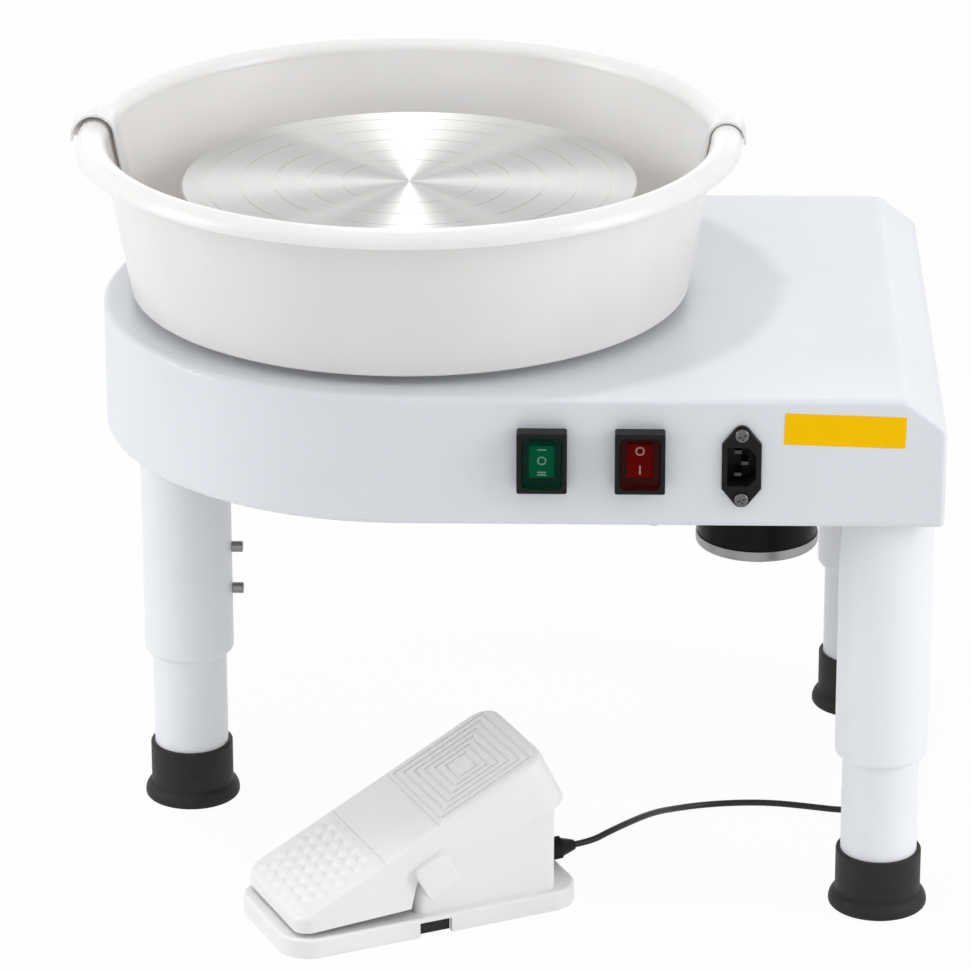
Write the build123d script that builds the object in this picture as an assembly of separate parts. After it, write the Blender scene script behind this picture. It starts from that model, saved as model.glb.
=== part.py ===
from build123d import *
import os
from math import cos, pi, radians, sin, tan

# Electric pottery wheel on three telescopic legs, with a split splash pan and a foot pedal.
# Lengths are in millimetres and angles in degrees. X points right, Y away from the potter, Z up.
# The model is drawn with the wheel axis on X = Y = 0 and the floor on Z = 0, and moved at the end.

# Table body
TABLE_HEIGHT = 341.0
BODY_HEIGHT = 80.0
BODY_DEPTH = 377.0
BODY_REACH = 320.7
SHEET = 2.0
BEVEL_RUN = 24.3
BEVEL_DROP = 18.0
BEVEL_ROUND = 9.0
EDGE_ROUND = 3.5
LOWER_ROUND = 3.0

# Bottom cover
COVER_SHEET = 1.5
COVER_GAP = 0.5
TAB_LENGTH = 14.0
TAB_WIDTH = 20.0
TAB_SHEET = 2.0
COVER_SCREW = 4.0
TAB_ANGLES = (135.0, 225.0)

# Legs
LEG_LEFT_INSET = 47.0
LEG_RIGHT_INSET = 31.7
LEG_SIDE_INSET = 37.5
SLEEVE_DIAMETER = 56.0
SLEEVE_WALL = 2.5
SLEEVE_LOW = 99.3
SLEEVE_ROUND = 4.0
TUBE_DIAMETER = 46.5
TUBE_WALL = 2.0
TUBE_TOP = 236.0
SLIDE_GAP = 0.3
BUSH_HEIGHT = 24.0
FOOT_DIAMETER = 52.0
FOOT_HEIGHT = 36.5
FOOT_SOLE = 6.0
FOOT_FLANGE = 60.0
FOOT_FLANGE_HEIGHT = 9.5
FOOT_WIDEST = 2.0
FOOT_EDGE = 0.9
CLAMP_HEIGHTS = (141.0, 169.0)
CLAMP_HEAD = 7.0
CLAMP_HEAD_LENGTH = 7.0
CLAMP_SHANK = 4.0

# Splash pan
PAN_RIM_DIAMETER = 406.0
PAN_BASE_DIAMETER = 342.0
PAN_WALL_TOP_DIAMETER = 374.0
PAN_RISE = 105.5
PAN_FOOT = 5.9
PAN_FOOT_INSET = 18.0
PAN_SHEET = 3.0
PAN_SEAT_GAP = 0.3
PAN_BASE_ROUND = 1.3
COLLAR_DIAMETER = 78.0
COLLAR_CLEAR = 2.3
SEAM_Y = 16.0
SEAM_GAP = 0.4
SLEEVE_FRONT_Y = 5.0
SLEEVE_REAR_Y = 26.0
SLEEVE_SHEET = 1.8
SEAM_GAP_LEFT = 3.0
SEAM_GAP_RIGHT = 0.9
SEAM_DRIFT = 0.8
SLEEVE_DROP = 3.0

# Wheel head and spindle
WHEEL_DIAMETER = 280.0
WHEEL_THICKNESS = 10.0
WHEEL_RISE = 70.3
WHEEL_EDGE = 1.2
GROOVE_DIAMETERS = (84.0, 124.0, 166.0, 208.0, 250.0)
GROOVE_WIDTH = 0.5
GROOVE_DEPTH = 0.2
HUB_DIAMETER = 48.0
HUB_LENGTH = 14.0
SPINDLE_DIAMETER = 20.0
SPINDLE_SEAT = 6.0
SHOULDER_DIAMETER = 27.0
SHOULDER_HEIGHT = 3.0
GRUB_DIAMETER = 6.0
GRUB_SINK = 1.0
RUN_GAP = 0.3

# Bearings and their housing
BEARING_DIAMETER = 42.0
BEARING_WIDTH = 12.0
RACE_THICKNESS = 2.8
BALL_DIAMETER = 6.0
BALL_COUNT = 9
BALL_GAP = 0.15
LOWER_BEARING_RISE = 45.0
HOUSING_WALL = 6.0
HOUSING_FLANGE = 116.0
HOUSING_FLANGE_SHEET = 5.0
HOUSING_STEP = 3.0
HOUSING_BOLT_CIRCLE_DIAMETER = 90.0
HOUSING_SCREW = 6.0
CIRCLIP_SHEET = 1.5
CIRCLIP_DEPTH = 1.2

# Belt drive
WHEEL_PULLEY_DIAMETER = 150.0
MOTOR_PULLEY_DIAMETER = 30.0
PULLEY_FLANGE = 4.5
PULLEY_FLANGE_SHEET = 3.0
PULLEY_RISE = 15.0
PULLEY_HUB_DIAMETER = 46.0
PULLEY_HUB_EXTRA = 4.0
PULLEY_WEB = 6.0
PULLEY_HOLE_DIAMETER = 28.0
PULLEY_HOLE_COUNT = 5
BELT_WIDTH = 12.0
BELT_SHEET = 3.0
BELT_GAP = 0.3
BELT_SIDE_GAP = 0.6
SPACER_WALL = 2.5
NUT_WIDTH = 30.0
NUT_HEIGHT = 8.0
SPINDLE_END = 2.0

# Motor
MOTOR_INSET = 104.7
MOTOR_DIAMETER = 75.0
MOTOR_LENGTH = 91.0
MOTOR_CAP_HEIGHT = 7.0
MOTOR_CAP_LIP = 0.8
MOTOR_SHAFT_DIAMETER = 10.0
MOTOR_SHAFT_DEPTH = 40.0
MOTOR_PLATE_RISE = 4.5
BRACKET_SHEET = 4.0
BRACKET_LENGTH = 104.0
BRACKET_WIDTH = 124.0
BRACKET_FOOT = 14.0
MOTOR_BOLT_CIRCLE_DIAMETER = 54.0
MOTOR_SCREW = 5.0
MOTOR_HOLE_GAP = 2.0

# Speed control board
BOARD_X = 116.0
BOARD_INSET = 58.5
BOARD_LENGTH = 96.0
BOARD_WIDTH = 64.0
BOARD_SHEET = 1.6
STANDOFF_HEIGHT = 16.0
STANDOFF_DIAMETER = 7.0
STANDOFF_INSET = 5.0
HEATSINK_LENGTH = 56.0
HEATSINK_WIDTH = 24.0
HEATSINK_HEIGHT = 24.0
HEATSINK_FINS = 7

# Front panel
SWITCH_DROP = 37.4
INLET_DROP = 41.2
DIRECTION_X = 83.8
POWER_X = 141.3
BEZEL_WIDTH = 29.6
BEZEL_HEIGHT = 37.6
BEZEL_DEPTH = 10.0
BEZEL_FRAME = 2.7
BEZEL_SEAT = 2.0
SWITCH_WIDTH = 21.6
SWITCH_HEIGHT = 28.0
SWITCH_DEPTH = 24.0
CUTOUT_GAP = 0.3
ROCKER_WIDTH = 14.6
ROCKER_HEIGHT = 19.6
ROCKER_PROUD = 6.0
ROCKER_DISH = 1.4
ROCKER_AXIS = -1.0
ROCKER_BACK = 5.0
ROCKER_GAP = 0.5
ROCKER_TRUNNION = 3.0
ROCKER_TILT = 9.0
ROCKER_ROOM = 1.9
HOOD_PROUD = 1.6
HOOD_SHEET = 1.2
HOOD_ROUND = 4.0
INLET_X = 200.8
INLET_WIDTH = 23.2
INLET_SCREW_PITCH = 40.0
INLET_END_ROUND = 5.4
INLET_STRAIGHT = 28.0
INLET_FLANGE = 2.6
INLET_BODY_DEPTH = 22.0
SOCKET_WIDTH = 16.8
SOCKET_HEIGHT = 24.3
SOCKET_CHAMFER = 4.6
SOCKET_DEPTH = 17.0
SOCKET_WALL = 1.8
BLADE_WIDTH = 4.0
BLADE_SHEET = 2.0
BLADE_PITCH = 14.0
BLADE_OFFSET = 4.0
BLADE_RECESS = 6.5
BLADE_TAIL = 8.0
INLET_SCREW = 4.0
INLET_SCREW_HEAD = 8.4
INLET_SCREW_HEAD_HEIGHT = 2.4
INLET_SCREW_TURN = 20.0

# Foot pedal, drawn with its length along X, its heel at -X and its middle on X = Y = 0
PEDAL_X = 3.0
PEDAL_Y = -161.9
PEDAL_ANGLE = 25.5
PEDAL_LENGTH = 194.0
PEDAL_WIDTH = 91.4
PEDAL_BASE_HEIGHT = 12.5
PEDAL_CORNER = 20.0
PEDAL_SHEET = 3.0
PEDAL_EDGE = 2.0
GRIP_X = -2.0
GRIP_WIDTH = 20.8
GRIP_LOW = 1.0
GRIP_INSET = 3.0
HOUSING_FRONT = -12.0
HOUSING_BACK = 81.0
HOUSING_CORNER = 6.0
HOUSING_SHEET = 2.4
POST_WALL = 1.2
TREADLE_WIDTH = 86.0
TREADLE_SHEET = 2.4
TREADLE_GAP = 0.6
TREADLE_SLOPE = 26.3
HEEL_X = -90.0
HEEL_TOP = 24.6
HEEL_LOW = 15.5
SKIRT_X = -17.0
SKIRT_LOW = 19.0
SKIRT_STEP = 6.0
TREADLE_LENGTH = 180.7
TOE_DEPTH = 38.0
HEEL_CORNER = 10.0
TOE_CORNER = 15.0
TREADLE_EDGE = 4.0
TREADLE_PRESS = 13.0
PIVOT_X = -1.0
PIVOT_Z = 39.0
PIN_DIAMETER = 6.0
PIN_GAP = 0.1
BOSS_SIZE = 23.0
BOSS_HEIGHT = 5.0
BOSS_ROUND = 4.0
BUMP_ROWS = 8
BUMP_COLUMNS = 6
BUMP_PITCH = 12.4
BUMP_ROW_PITCH = 7.0
BUMP_START = 8.0
BUMP_RADIUS = 7.5
BUMP_HEIGHT = 1.3
BAND_START = 63.0
BAND_END = 103.0
BAND_LINE = 1.2
BAND_DEPTH = 0.8
RIB_START = 106.0
RIB_END = 174.0
RIB_HALF_WIDTH = 36.5
RIB_RINGS = 6
RIB_WIDTH = 2.0
RIB_DEPTH = 1.0
RIB_PITCH = 5.2

# Speed sender inside the pedal: a toothed sector on the treadle turns a small pinion
TOOTH_MODULE = 1.5
PINION_TEETH = 12
SECTOR_TEETH = 48
SECTOR_FIRST = -2
SECTOR_LAST = 4
MESH_ANGLE = -10.0
SECTOR_Y = 6.0
SECTOR_SHEET = 5.0
SECTOR_RIM = 6.0
SECTOR_ARM_X = 27.5
SECTOR_ARM_DROP = 15.0
TOOTH_BACKLASH = 0.5
TOOTH_ADDENDUM = 1.1
TOOTH_DEDENDUM = 1.8
TOOTH_LEAN = 0.4
PINION_SHAFT = 6.0
SENDER_DIAMETER = 17.0
SENDER_LENGTH = 14.0
SENDER_SHEET = 2.0
SENDER_FOOT = 16.0

# Cord between the pedal and the table
CORD_DIAMETER = 4.0
GLAND_DIAMETER = 16.0
GLAND_NUT_LENGTH = 12.0
GLAND_CONE_LENGTH = 10.0
GLAND_FLANGE = 5.0
GLAND_CONE_WALL = 1.2
PEDAL_GLAND_Y = -6.0
PEDAL_GLAND_Z = 21.5
CORD_LEAD = 12.0

# Route of the cord from the pedal's gland along the floor and behind the front leg
CORD_ROUTE = [
    (124.7, -105.6, 23.2),
    (135.5, -91.0, 22.0),
    (146.5, -72.5, 18.6),
    (156.0, -53.5, 13.0),
    (166.0, -36.5, 7.0),
    (181.0, -23.0, 3.2),
    (203.0, -16.6, 2.2),
    (227.0, -16.0, 2.2),
    (249.0, -20.6, 2.2),
    (271.0, -26.4, 2.2),
    (288.0, -26.0, 2.2),
    (301.0, -16.0, 2.2),
    (307.0, 0.0, 2.2),
    (306.0, 18.0, 2.2),
    (301.0, 35.0, 2.2),
    (297.0, 52.0, 2.2),
    (297.0, 70.0, 2.6),
]

# Rise of the cord to the table: places from the axis of the table's gland, at heights above the floor,
# and then at shares of the height of the gland's lead
CORD_RISE = [
    (-3.0, -21.0, 5.0),
    (-1.0, -9.0, 14.0),
    (-0.2, -2.4, 29.0),
]
CORD_CLIMB = [
    (-0.6, 0.2, 0.234),
    (0.4, 0.6, 0.396),
    (-0.6, -0.4, 0.586),
    (0.6, 0.2, 0.775),
    (-0.2, -0.2, 0.914),
]
TABLE_GLAND_INSET = 18.1
TABLE_GLAND_FROM_LEG = 44.0

# Heights and places that follow from the sizes above
BODY_LOW = TABLE_HEIGHT - BODY_HEIGHT
UNDERSIDE = TABLE_HEIGHT - SHEET
COVER_TOP = BODY_LOW + COVER_SHEET
HALF_DEPTH = BODY_DEPTH / 2
LEG_LEFT_X = LEG_LEFT_INSET - HALF_DEPTH
LEG_RIGHT_X = BODY_REACH - LEG_RIGHT_INSET
LEG_SIDE_Y = HALF_DEPTH - LEG_SIDE_INSET
SWITCH_Z = TABLE_HEIGHT - SWITCH_DROP
INLET_Z = TABLE_HEIGHT - INLET_DROP
MOTOR_X = BODY_REACH - MOTOR_INSET
BOARD_Y = HALF_DEPTH - BOARD_INSET
TABLE_GLAND_X = BODY_REACH - TABLE_GLAND_INSET
TABLE_GLAND_Y = LEG_SIDE_Y - TABLE_GLAND_FROM_LEG
WHEEL_TOP = TABLE_HEIGHT + WHEEL_RISE
WHEEL_LOW = WHEEL_TOP - WHEEL_THICKNESS
HUB_LOW = WHEEL_LOW - HUB_LENGTH
UPPER_BEARING_TOP = HUB_LOW - SHOULDER_HEIGHT
UPPER_BEARING_LOW = UPPER_BEARING_TOP - BEARING_WIDTH
LOWER_BEARING_LOW = BODY_LOW + LOWER_BEARING_RISE
LOWER_BEARING_TOP = LOWER_BEARING_LOW + BEARING_WIDTH
PULLEY_LOW = BODY_LOW + PULLEY_RISE
PULLEY_TOP = PULLEY_LOW + BELT_WIDTH + 2 * (BELT_SIDE_GAP + PULLEY_FLANGE_SHEET)
PULLEY_HUB_TOP = PULLEY_TOP + PULLEY_HUB_EXTRA
NUT_LOW = PULLEY_LOW - NUT_HEIGHT
MOTOR_TOP = COVER_TOP + MOTOR_PLATE_RISE
MOTOR_LOW = MOTOR_TOP - MOTOR_LENGTH
BRACKET_TOP = MOTOR_TOP + BRACKET_SHEET
PAN_LOW = TABLE_HEIGHT + PAN_SEAT_GAP
PAN_FLOOR = PAN_LOW + PAN_FOOT
COLLAR_TOP = HUB_LOW - COLLAR_CLEAR
RIM_RADIUS = (PAN_RIM_DIAMETER / 2 - PAN_WALL_TOP_DIAMETER / 2 + PAN_SHEET) / 2
RIM_X = PAN_RIM_DIAMETER / 2 - RIM_RADIUS
RIM_Z = TABLE_HEIGHT + PAN_RISE - RIM_RADIUS
PAN_LEAN = (PAN_WALL_TOP_DIAMETER - PAN_BASE_DIAMETER) / 2 / (RIM_Z - PAN_FLOOR)
SLEEVE_RADIUS = SLEEVE_DIAMETER / 2
TUBE_RADIUS = TUBE_DIAMETER / 2
LEG_PLACES = {
    "left": (LEG_LEFT_X, 0.0, 0.0),
    "front": (LEG_RIGHT_X, -LEG_SIDE_Y, 90.0),
    "rear": (LEG_RIGHT_X, LEG_SIDE_Y, -90.0),
}
FRONT_PANEL = Plane(origin=(0, -HALF_DEPTH, 0), x_dir=(1, 0, 0), z_dir=(0, -1, 0))
PEDAL_PLACE = Pos(PEDAL_X, PEDAL_Y, 0) * Rot(0, 0, PEDAL_ANGLE)
TREADLE_TOP = Plane(
    origin=(HEEL_X, 0, HEEL_TOP),
    x_dir=(cos(radians(TREADLE_SLOPE)), 0, sin(radians(TREADLE_SLOPE))),
    z_dir=(-sin(radians(TREADLE_SLOPE)), 0, cos(radians(TREADLE_SLOPE))),
)


def rod(radius, low, high):
    """Upright round bar on the Z axis."""
    return Pos(0, 0, (low + high) / 2) * Cylinder(radius, high - low)


def ring(outer, inner, low, high):
    """Upright ring on the Z axis."""
    return rod(outer, low, high) - rod(inner, low, high)


def block(low, high):
    """Box between two corners."""
    size = [b - a for a, b in zip(low, high)]
    middle = [(a + b) / 2 for a, b in zip(low, high)]
    return Pos(*middle) * Box(*size)


def side_slab(points, half_width):
    """Upright slab across Y with a closed outline of (x, z) points."""
    return extrude(Plane.XZ * make_face(Polyline(*points, close=True)), half_width, both=True)


def circle_places(count, radius, start=0.0):
    """Evenly spaced places round the Z axis."""
    return [Rot(0, 0, start + 360 * i / count) * Pos(radius, 0, 0) for i in range(count)]


# Table body
def table_plan(inset):
    """Plan of the table: a half circle round the wheel axis and a straight right end."""
    half = HALF_DEPTH - inset
    reach = BODY_REACH - inset
    left_end = ThreePointArc((0, half), (-half, 0), (0, -half))
    sides = Polyline((0, -half), (reach, -half), (reach, half), (0, half))
    return make_face(Curve() + [left_end, sides])


def table_profile():
    """Front view of the table with its bevelled and rounded right end."""
    left = -HALF_DEPTH - SHEET
    outline = make_face(Polyline(
        (left, BODY_LOW),
        (BODY_REACH, BODY_LOW),
        (BODY_REACH, TABLE_HEIGHT - BEVEL_DROP),
        (BODY_REACH - BEVEL_RUN, TABLE_HEIGHT),
        (left, TABLE_HEIGHT),
        close=True,
    ))
    bevel = outline.vertices().filter_by(lambda v: v.X > 0 and v.Y > BODY_LOW + LOWER_ROUND)
    outline = fillet(bevel, BEVEL_ROUND)
    corner = outline.vertices().sort_by(Axis.Y)[:2].sort_by(Axis.X)[-1]
    return fillet(corner, LOWER_ROUND)


def table_space():
    """Space inside the table body, open below."""
    inner = extrude(Pos(0, 0, BODY_LOW) * table_plan(SHEET), BODY_HEIGHT)
    inside = offset(table_profile(), -SHEET, kind=Kind.INTERSECTION)
    mouth = Pos(-LOWER_ROUND, BODY_LOW + SHEET) * Rectangle(2 * BODY_REACH, 2 * SHEET)
    return inner & extrude(Plane.XZ * (inside + mouth), BODY_DEPTH, both=True)


def table_shell():
    profile = table_profile()
    outer = extrude(Pos(0, 0, BODY_LOW) * table_plan(0), BODY_HEIGHT)
    outer &= extrude(Plane.XZ * profile, BODY_DEPTH, both=True)
    seams = outer.edges().filter_by(
        lambda e: e.center().Z > BODY_LOW + 1
        and e.bounding_box().size.X + e.bounding_box().size.Z > EDGE_ROUND
        and abs(e.tangent_at(0.5).Y) < 0.99
        and not (e.geom_type == GeomType.LINE and abs(e.center().X) < 1)
        or e.geom_type == GeomType.CIRCLE and e.center().X < 0 and e.center().Z > BODY_LOW + 1
    )
    outer = fillet(seams, EDGE_ROUND)
    shell = outer - table_space()
    shell -= rod(housing_radius() + COVER_GAP, UNDERSIDE, TABLE_HEIGHT)
    for place in circle_places(4, HOUSING_BOLT_CIRCLE_DIAMETER / 2, 45):
        shell -= place * rod(HOUSING_SCREW / 2, UNDERSIDE, TABLE_HEIGHT)
    for x in (DIRECTION_X, POWER_X):
        cut = Box(SWITCH_WIDTH + 2 * CUTOUT_GAP, SWITCH_HEIGHT + 2 * CUTOUT_GAP, 4 * SHEET)
        shell -= on_panel(x, SWITCH_Z, cut)
    body = inlet_body_size()
    cut = Box(body[0] + 2 * CUTOUT_GAP, body[1] + 2 * CUTOUT_GAP, 4 * SHEET)
    shell -= on_panel(INLET_X, INLET_Z, cut)
    for side in (-1, 1):
        hole = Cylinder(INLET_SCREW / 2, 4 * SHEET)
        shell -= on_panel(INLET_X, INLET_Z + side * INLET_SCREW_PITCH / 2, hole)
    return shell


def tab_places():
    """Places of the tabs that the bottom cover is screwed to, turned so that +X points to the wall."""
    reach = BODY_REACH - SHEET
    half = HALF_DEPTH - SHEET
    middle = (MOTOR_X + DIRECTION_X) / 2
    places = [Rot(0, 0, angle) * Pos(half, 0, 0) for angle in TAB_ANGLES]
    places += [Pos(middle, side * half, 0) * Rot(0, 0, side * 90) for side in (-1, 1)]
    places += [Pos(reach, 0, 0)]
    return places


def wall_tab():
    """Tab with a foot on the wall and a tongue above the cover, with a hole for its screw."""
    foot = block((-TAB_SHEET, -TAB_WIDTH / 2, COVER_TOP), (0, TAB_WIDTH / 2, COVER_TOP + TAB_LENGTH))
    tongue = block(
        (-TAB_LENGTH, -TAB_WIDTH / 2, COVER_TOP),
        (-TAB_SHEET, TAB_WIDTH / 2, COVER_TOP + TAB_SHEET),
    )
    hole = Pos(-(TAB_LENGTH + TAB_SHEET) / 2, 0, 0) * rod(COVER_SCREW / 2, COVER_TOP, COVER_TOP + TAB_SHEET)
    return foot + tongue - hole


def cover_tabs():
    space = table_space()
    return [(place * wall_tab()) & space for place in tab_places()]


def bottom_cover():
    cover = extrude(Pos(0, 0, BODY_LOW) * table_plan(SHEET + COVER_GAP), COVER_SHEET)
    cover &= block(
        (-BODY_DEPTH, -BODY_DEPTH, BODY_LOW),
        (BODY_REACH - LOWER_ROUND - COVER_GAP, BODY_DEPTH, COVER_TOP),
    )
    for x, y, _ in LEG_PLACES.values():
        cover -= Pos(x, y, 0) * rod(SLEEVE_RADIUS + COVER_GAP, BODY_LOW, COVER_TOP)
    cover -= Pos(MOTOR_X, 0, 0) * rod(MOTOR_DIAMETER / 2 + MOTOR_HOLE_GAP, BODY_LOW, COVER_TOP)
    cover -= Pos(TABLE_GLAND_X, TABLE_GLAND_Y, 0) * rod(gland_neck(), BODY_LOW, COVER_TOP)
    for place in tab_places():
        hole = rod(COVER_SCREW / 2, BODY_LOW, COVER_TOP)
        cover -= place * Pos(-(TAB_LENGTH + TAB_SHEET) / 2, 0, 0) * hole
    return cover


def cover_screws():
    """Pan-head screws from below, one at each tab."""
    screws = []
    for place in tab_places():
        screw = rod(COVER_SCREW / 2, BODY_LOW, COVER_TOP + TAB_SHEET + COVER_SCREW)
        screw += rod(COVER_SCREW, BODY_LOW - COVER_SCREW / 2, BODY_LOW)
        screws.append(place * Pos(-(TAB_LENGTH + TAB_SHEET) / 2, 0, 0) * screw)
    return screws


# Legs
def leg_sleeve(name):
    """Outer tube with a rounded, turned-in lower lip and two clamp screw holes."""
    x, y, turn = LEG_PLACES[name]
    inner = SLEEVE_RADIUS - SLEEVE_WALL
    lip = TUBE_RADIUS + SLIDE_GAP
    sleeve = rod(SLEEVE_RADIUS, SLEEVE_LOW, UNDERSIDE)
    sleeve = fillet(sleeve.edges().group_by(Axis.Z)[0], min(SLEEVE_ROUND, SLEEVE_RADIUS - lip))
    sleeve -= rod(inner, SLEEVE_LOW + SLEEVE_ROUND, UNDERSIDE)
    sleeve -= rod(lip, SLEEVE_LOW, UNDERSIDE)
    for height in CLAMP_HEIGHTS:
        sleeve -= Pos(SLEEVE_RADIUS, 0, height) * Rot(0, 90, 0) * Cylinder(CLAMP_SHANK / 2, 4 * SLEEVE_WALL)
    return (Pos(x, y, 0) * Rot(0, 0, turn) * sleeve) & headroom()


def headroom():
    """Space under the top and the bevel of the table, down to the floor."""
    inside = offset(table_profile(), -SHEET, kind=Kind.INTERSECTION)
    below = Pos(0, BODY_LOW / 2) * Rectangle(2 * BODY_REACH, BODY_LOW + 2 * BEVEL_ROUND)
    return extrude(Plane.XZ * (inside + below), BODY_DEPTH, both=True)


def leg_bushes():
    """Plastic guide bushes that stand on the lips of the outer tubes."""
    low = SLEEVE_LOW + SLEEVE_ROUND
    bush = ring(SLEEVE_RADIUS - SLEEVE_WALL, TUBE_RADIUS + SLIDE_GAP, low, low + BUSH_HEIGHT)
    return [Pos(x, y, 0) * bush for x, y, _ in LEG_PLACES.values()]


def clamp_screws():
    """Socket-head screws, two a leg, that press on the inner tubes."""
    screws = []
    head = rod(CLAMP_HEAD / 2, 0, CLAMP_HEAD_LENGTH)
    head = fillet(head.edges().group_by(Axis.Z)[-1], CLAMP_HEAD / 12)
    head -= extrude(Pos(0, 0, CLAMP_HEAD_LENGTH / 2) * RegularPolygon(CLAMP_HEAD / 4, 6), CLAMP_HEAD_LENGTH)
    shank = rod(CLAMP_SHANK / 2, -(SLEEVE_RADIUS - TUBE_RADIUS - SLIDE_GAP), 0)
    for x, y, turn in LEG_PLACES.values():
        for height in CLAMP_HEIGHTS:
            place = Pos(x, y, 0) * Rot(0, 0, turn) * Pos(SLEEVE_RADIUS, 0, height) * Rot(0, 90, 0)
            screws.append(place * (head + shank))
    return screws


def leg_tube(name):
    """Inner tube, standing on the sole of its rubber foot."""
    x, y, _ = LEG_PLACES[name]
    return Pos(x, y, 0) * ring(TUBE_RADIUS, TUBE_RADIUS - TUBE_WALL, FOOT_SOLE, TUBE_TOP)


def leg_foot(name):
    """Rubber cup with a rounded flange round its sole."""
    x, y, _ = LEG_PLACES[name]
    radius = FOOT_DIAMETER / 2
    flange = FOOT_FLANGE / 2
    shoulder = (radius + 0.78 * (flange - radius), FOOT_WIDEST + 0.55 * (FOOT_FLANGE_HEIGHT - FOOT_WIDEST))
    outline = Curve() + [
        Line((0, 0), (flange - FOOT_EDGE, 0)),
        ThreePointArc((flange - FOOT_EDGE, 0), (flange - FOOT_EDGE / 4, 0.4 * FOOT_WIDEST), (flange, FOOT_WIDEST)),
        ThreePointArc((flange, FOOT_WIDEST), shoulder, (radius, FOOT_FLANGE_HEIGHT)),
        Polyline((radius, FOOT_FLANGE_HEIGHT), (radius, FOOT_HEIGHT), (0, FOOT_HEIGHT), (0, 0)),
    ]
    foot = revolve(Plane.XZ * make_face(outline), Axis.Z)
    foot = fillet(foot.edges().group_by(Axis.Z)[-1], (radius - TUBE_RADIUS) / 3)
    foot -= rod(TUBE_RADIUS, FOOT_SOLE, FOOT_HEIGHT)
    return Pos(x, y, 0) * foot


# Splash pan
def wall_radius(height):
    """Outer radius of the pan's conical wall."""
    return PAN_BASE_DIAMETER / 2 + PAN_LEAN * (height - PAN_FLOOR)


def pan_section():
    """Half section of the pan: collar, floor, foot ring, wall and the rolled rim."""
    floor_top = PAN_FLOOR + PAN_SHEET
    collar = COLLAR_DIAMETER / 2
    base = PAN_BASE_DIAMETER / 2
    outer_rim = RIM_X + RIM_RADIUS
    inner_rim = RIM_X - RIM_RADIUS
    outline = Curve() + [
        Polyline((collar - PAN_SHEET, PAN_FLOOR), (base - PAN_BASE_ROUND, PAN_FLOOR)),
        ThreePointArc(
            (base - PAN_BASE_ROUND, PAN_FLOOR),
            (base - PAN_BASE_ROUND * (1 - sin(pi / 4)), PAN_FLOOR + PAN_BASE_ROUND * (1 - cos(pi / 4))),
            (wall_radius(PAN_FLOOR + PAN_BASE_ROUND), PAN_FLOOR + PAN_BASE_ROUND),
        ),
        Line(
            (wall_radius(PAN_FLOOR + PAN_BASE_ROUND), PAN_FLOOR + PAN_BASE_ROUND),
            (inner_rim + PAN_SHEET, RIM_Z),
        ),
        ThreePointArc(
            (inner_rim + PAN_SHEET, RIM_Z),
            (RIM_X, RIM_Z + RIM_RADIUS - PAN_SHEET),
            (outer_rim - PAN_SHEET, RIM_Z),
        ),
        Line((outer_rim - PAN_SHEET, RIM_Z), (outer_rim, RIM_Z)),
        ThreePointArc((outer_rim, RIM_Z), (RIM_X, RIM_Z + RIM_RADIUS), (inner_rim, RIM_Z)),
        Polyline(
            (inner_rim, RIM_Z),
            (wall_radius(floor_top) - PAN_SHEET, floor_top),
            (collar, floor_top),
            (collar, COLLAR_TOP),
            (collar - PAN_SHEET, COLLAR_TOP),
            (collar - PAN_SHEET, PAN_FLOOR),
        ),
    ]
    foot = base - PAN_FOOT_INSET
    foot_ring = Pos(foot - PAN_SHEET, PAN_LOW + PAN_FOOT / 2) * Rectangle(2 * PAN_SHEET, PAN_FOOT)
    return make_face(outline) + foot_ring


def whole_pan():
    return revolve(Plane.XZ * pan_section(), Axis.Z)


def pan_front():
    """Front half, whose ends lie in the sleeves of the rear half."""
    reach = PAN_RIM_DIAMETER
    return whole_pan() & block((-reach, -reach, 0), (reach, SEAM_Y - SEAM_GAP / 2, 2 * TABLE_HEIGHT))


def sleeve_section(inner, outer, drift):
    """Inverted U over the rim, between two distances from the surface of the rim and inner wall.

    The leg inside the pan is set a little further from the wall, because the wall curves away."""
    low = PAN_FLOOR + PAN_SHEET + PAN_BASE_ROUND + drift + outer
    lip = RIM_Z - SLEEVE_DROP
    section = Pos(RIM_X, RIM_Z) * (Circle(RIM_RADIUS + outer) - Circle(RIM_RADIUS + inner))
    section &= Pos(RIM_X, RIM_Z + PAN_RISE / 2) * Rectangle(4 * RIM_RADIUS, PAN_RISE)
    outer_rim = RIM_X + RIM_RADIUS
    section += make_face(Polyline(
        (outer_rim + inner, lip), (outer_rim + outer, lip),
        (outer_rim + outer, RIM_Z), (outer_rim + inner, RIM_Z), close=True,
    ))
    face_low = wall_radius(low) - PAN_SHEET
    face_top = RIM_X - RIM_RADIUS
    section += make_face(Polyline(
        (face_low - outer - drift, low), (face_low - inner - drift, low),
        (face_top - inner, RIM_Z), (face_top - outer, RIM_Z), close=True,
    ))
    return section


def seam_sleeve(gap, drift):
    """Sleeve at the right-hand seam: an open cap over the front half and a root on the rear half."""
    cap = sleeve_section(gap, gap + SLEEVE_SHEET, drift)
    root = sleeve_section(-PAN_SHEET / 2, gap + SLEEVE_SHEET, drift / 2)
    over = extrude(Plane.XZ * cap, -(SLEEVE_REAR_Y - SLEEVE_FRONT_Y))
    behind = extrude(Plane.XZ * root, -(SLEEVE_REAR_Y - SEAM_Y - SEAM_GAP / 2))
    return Pos(0, SLEEVE_FRONT_Y, 0) * over + Pos(0, SEAM_Y + SEAM_GAP / 2, 0) * behind


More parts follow.
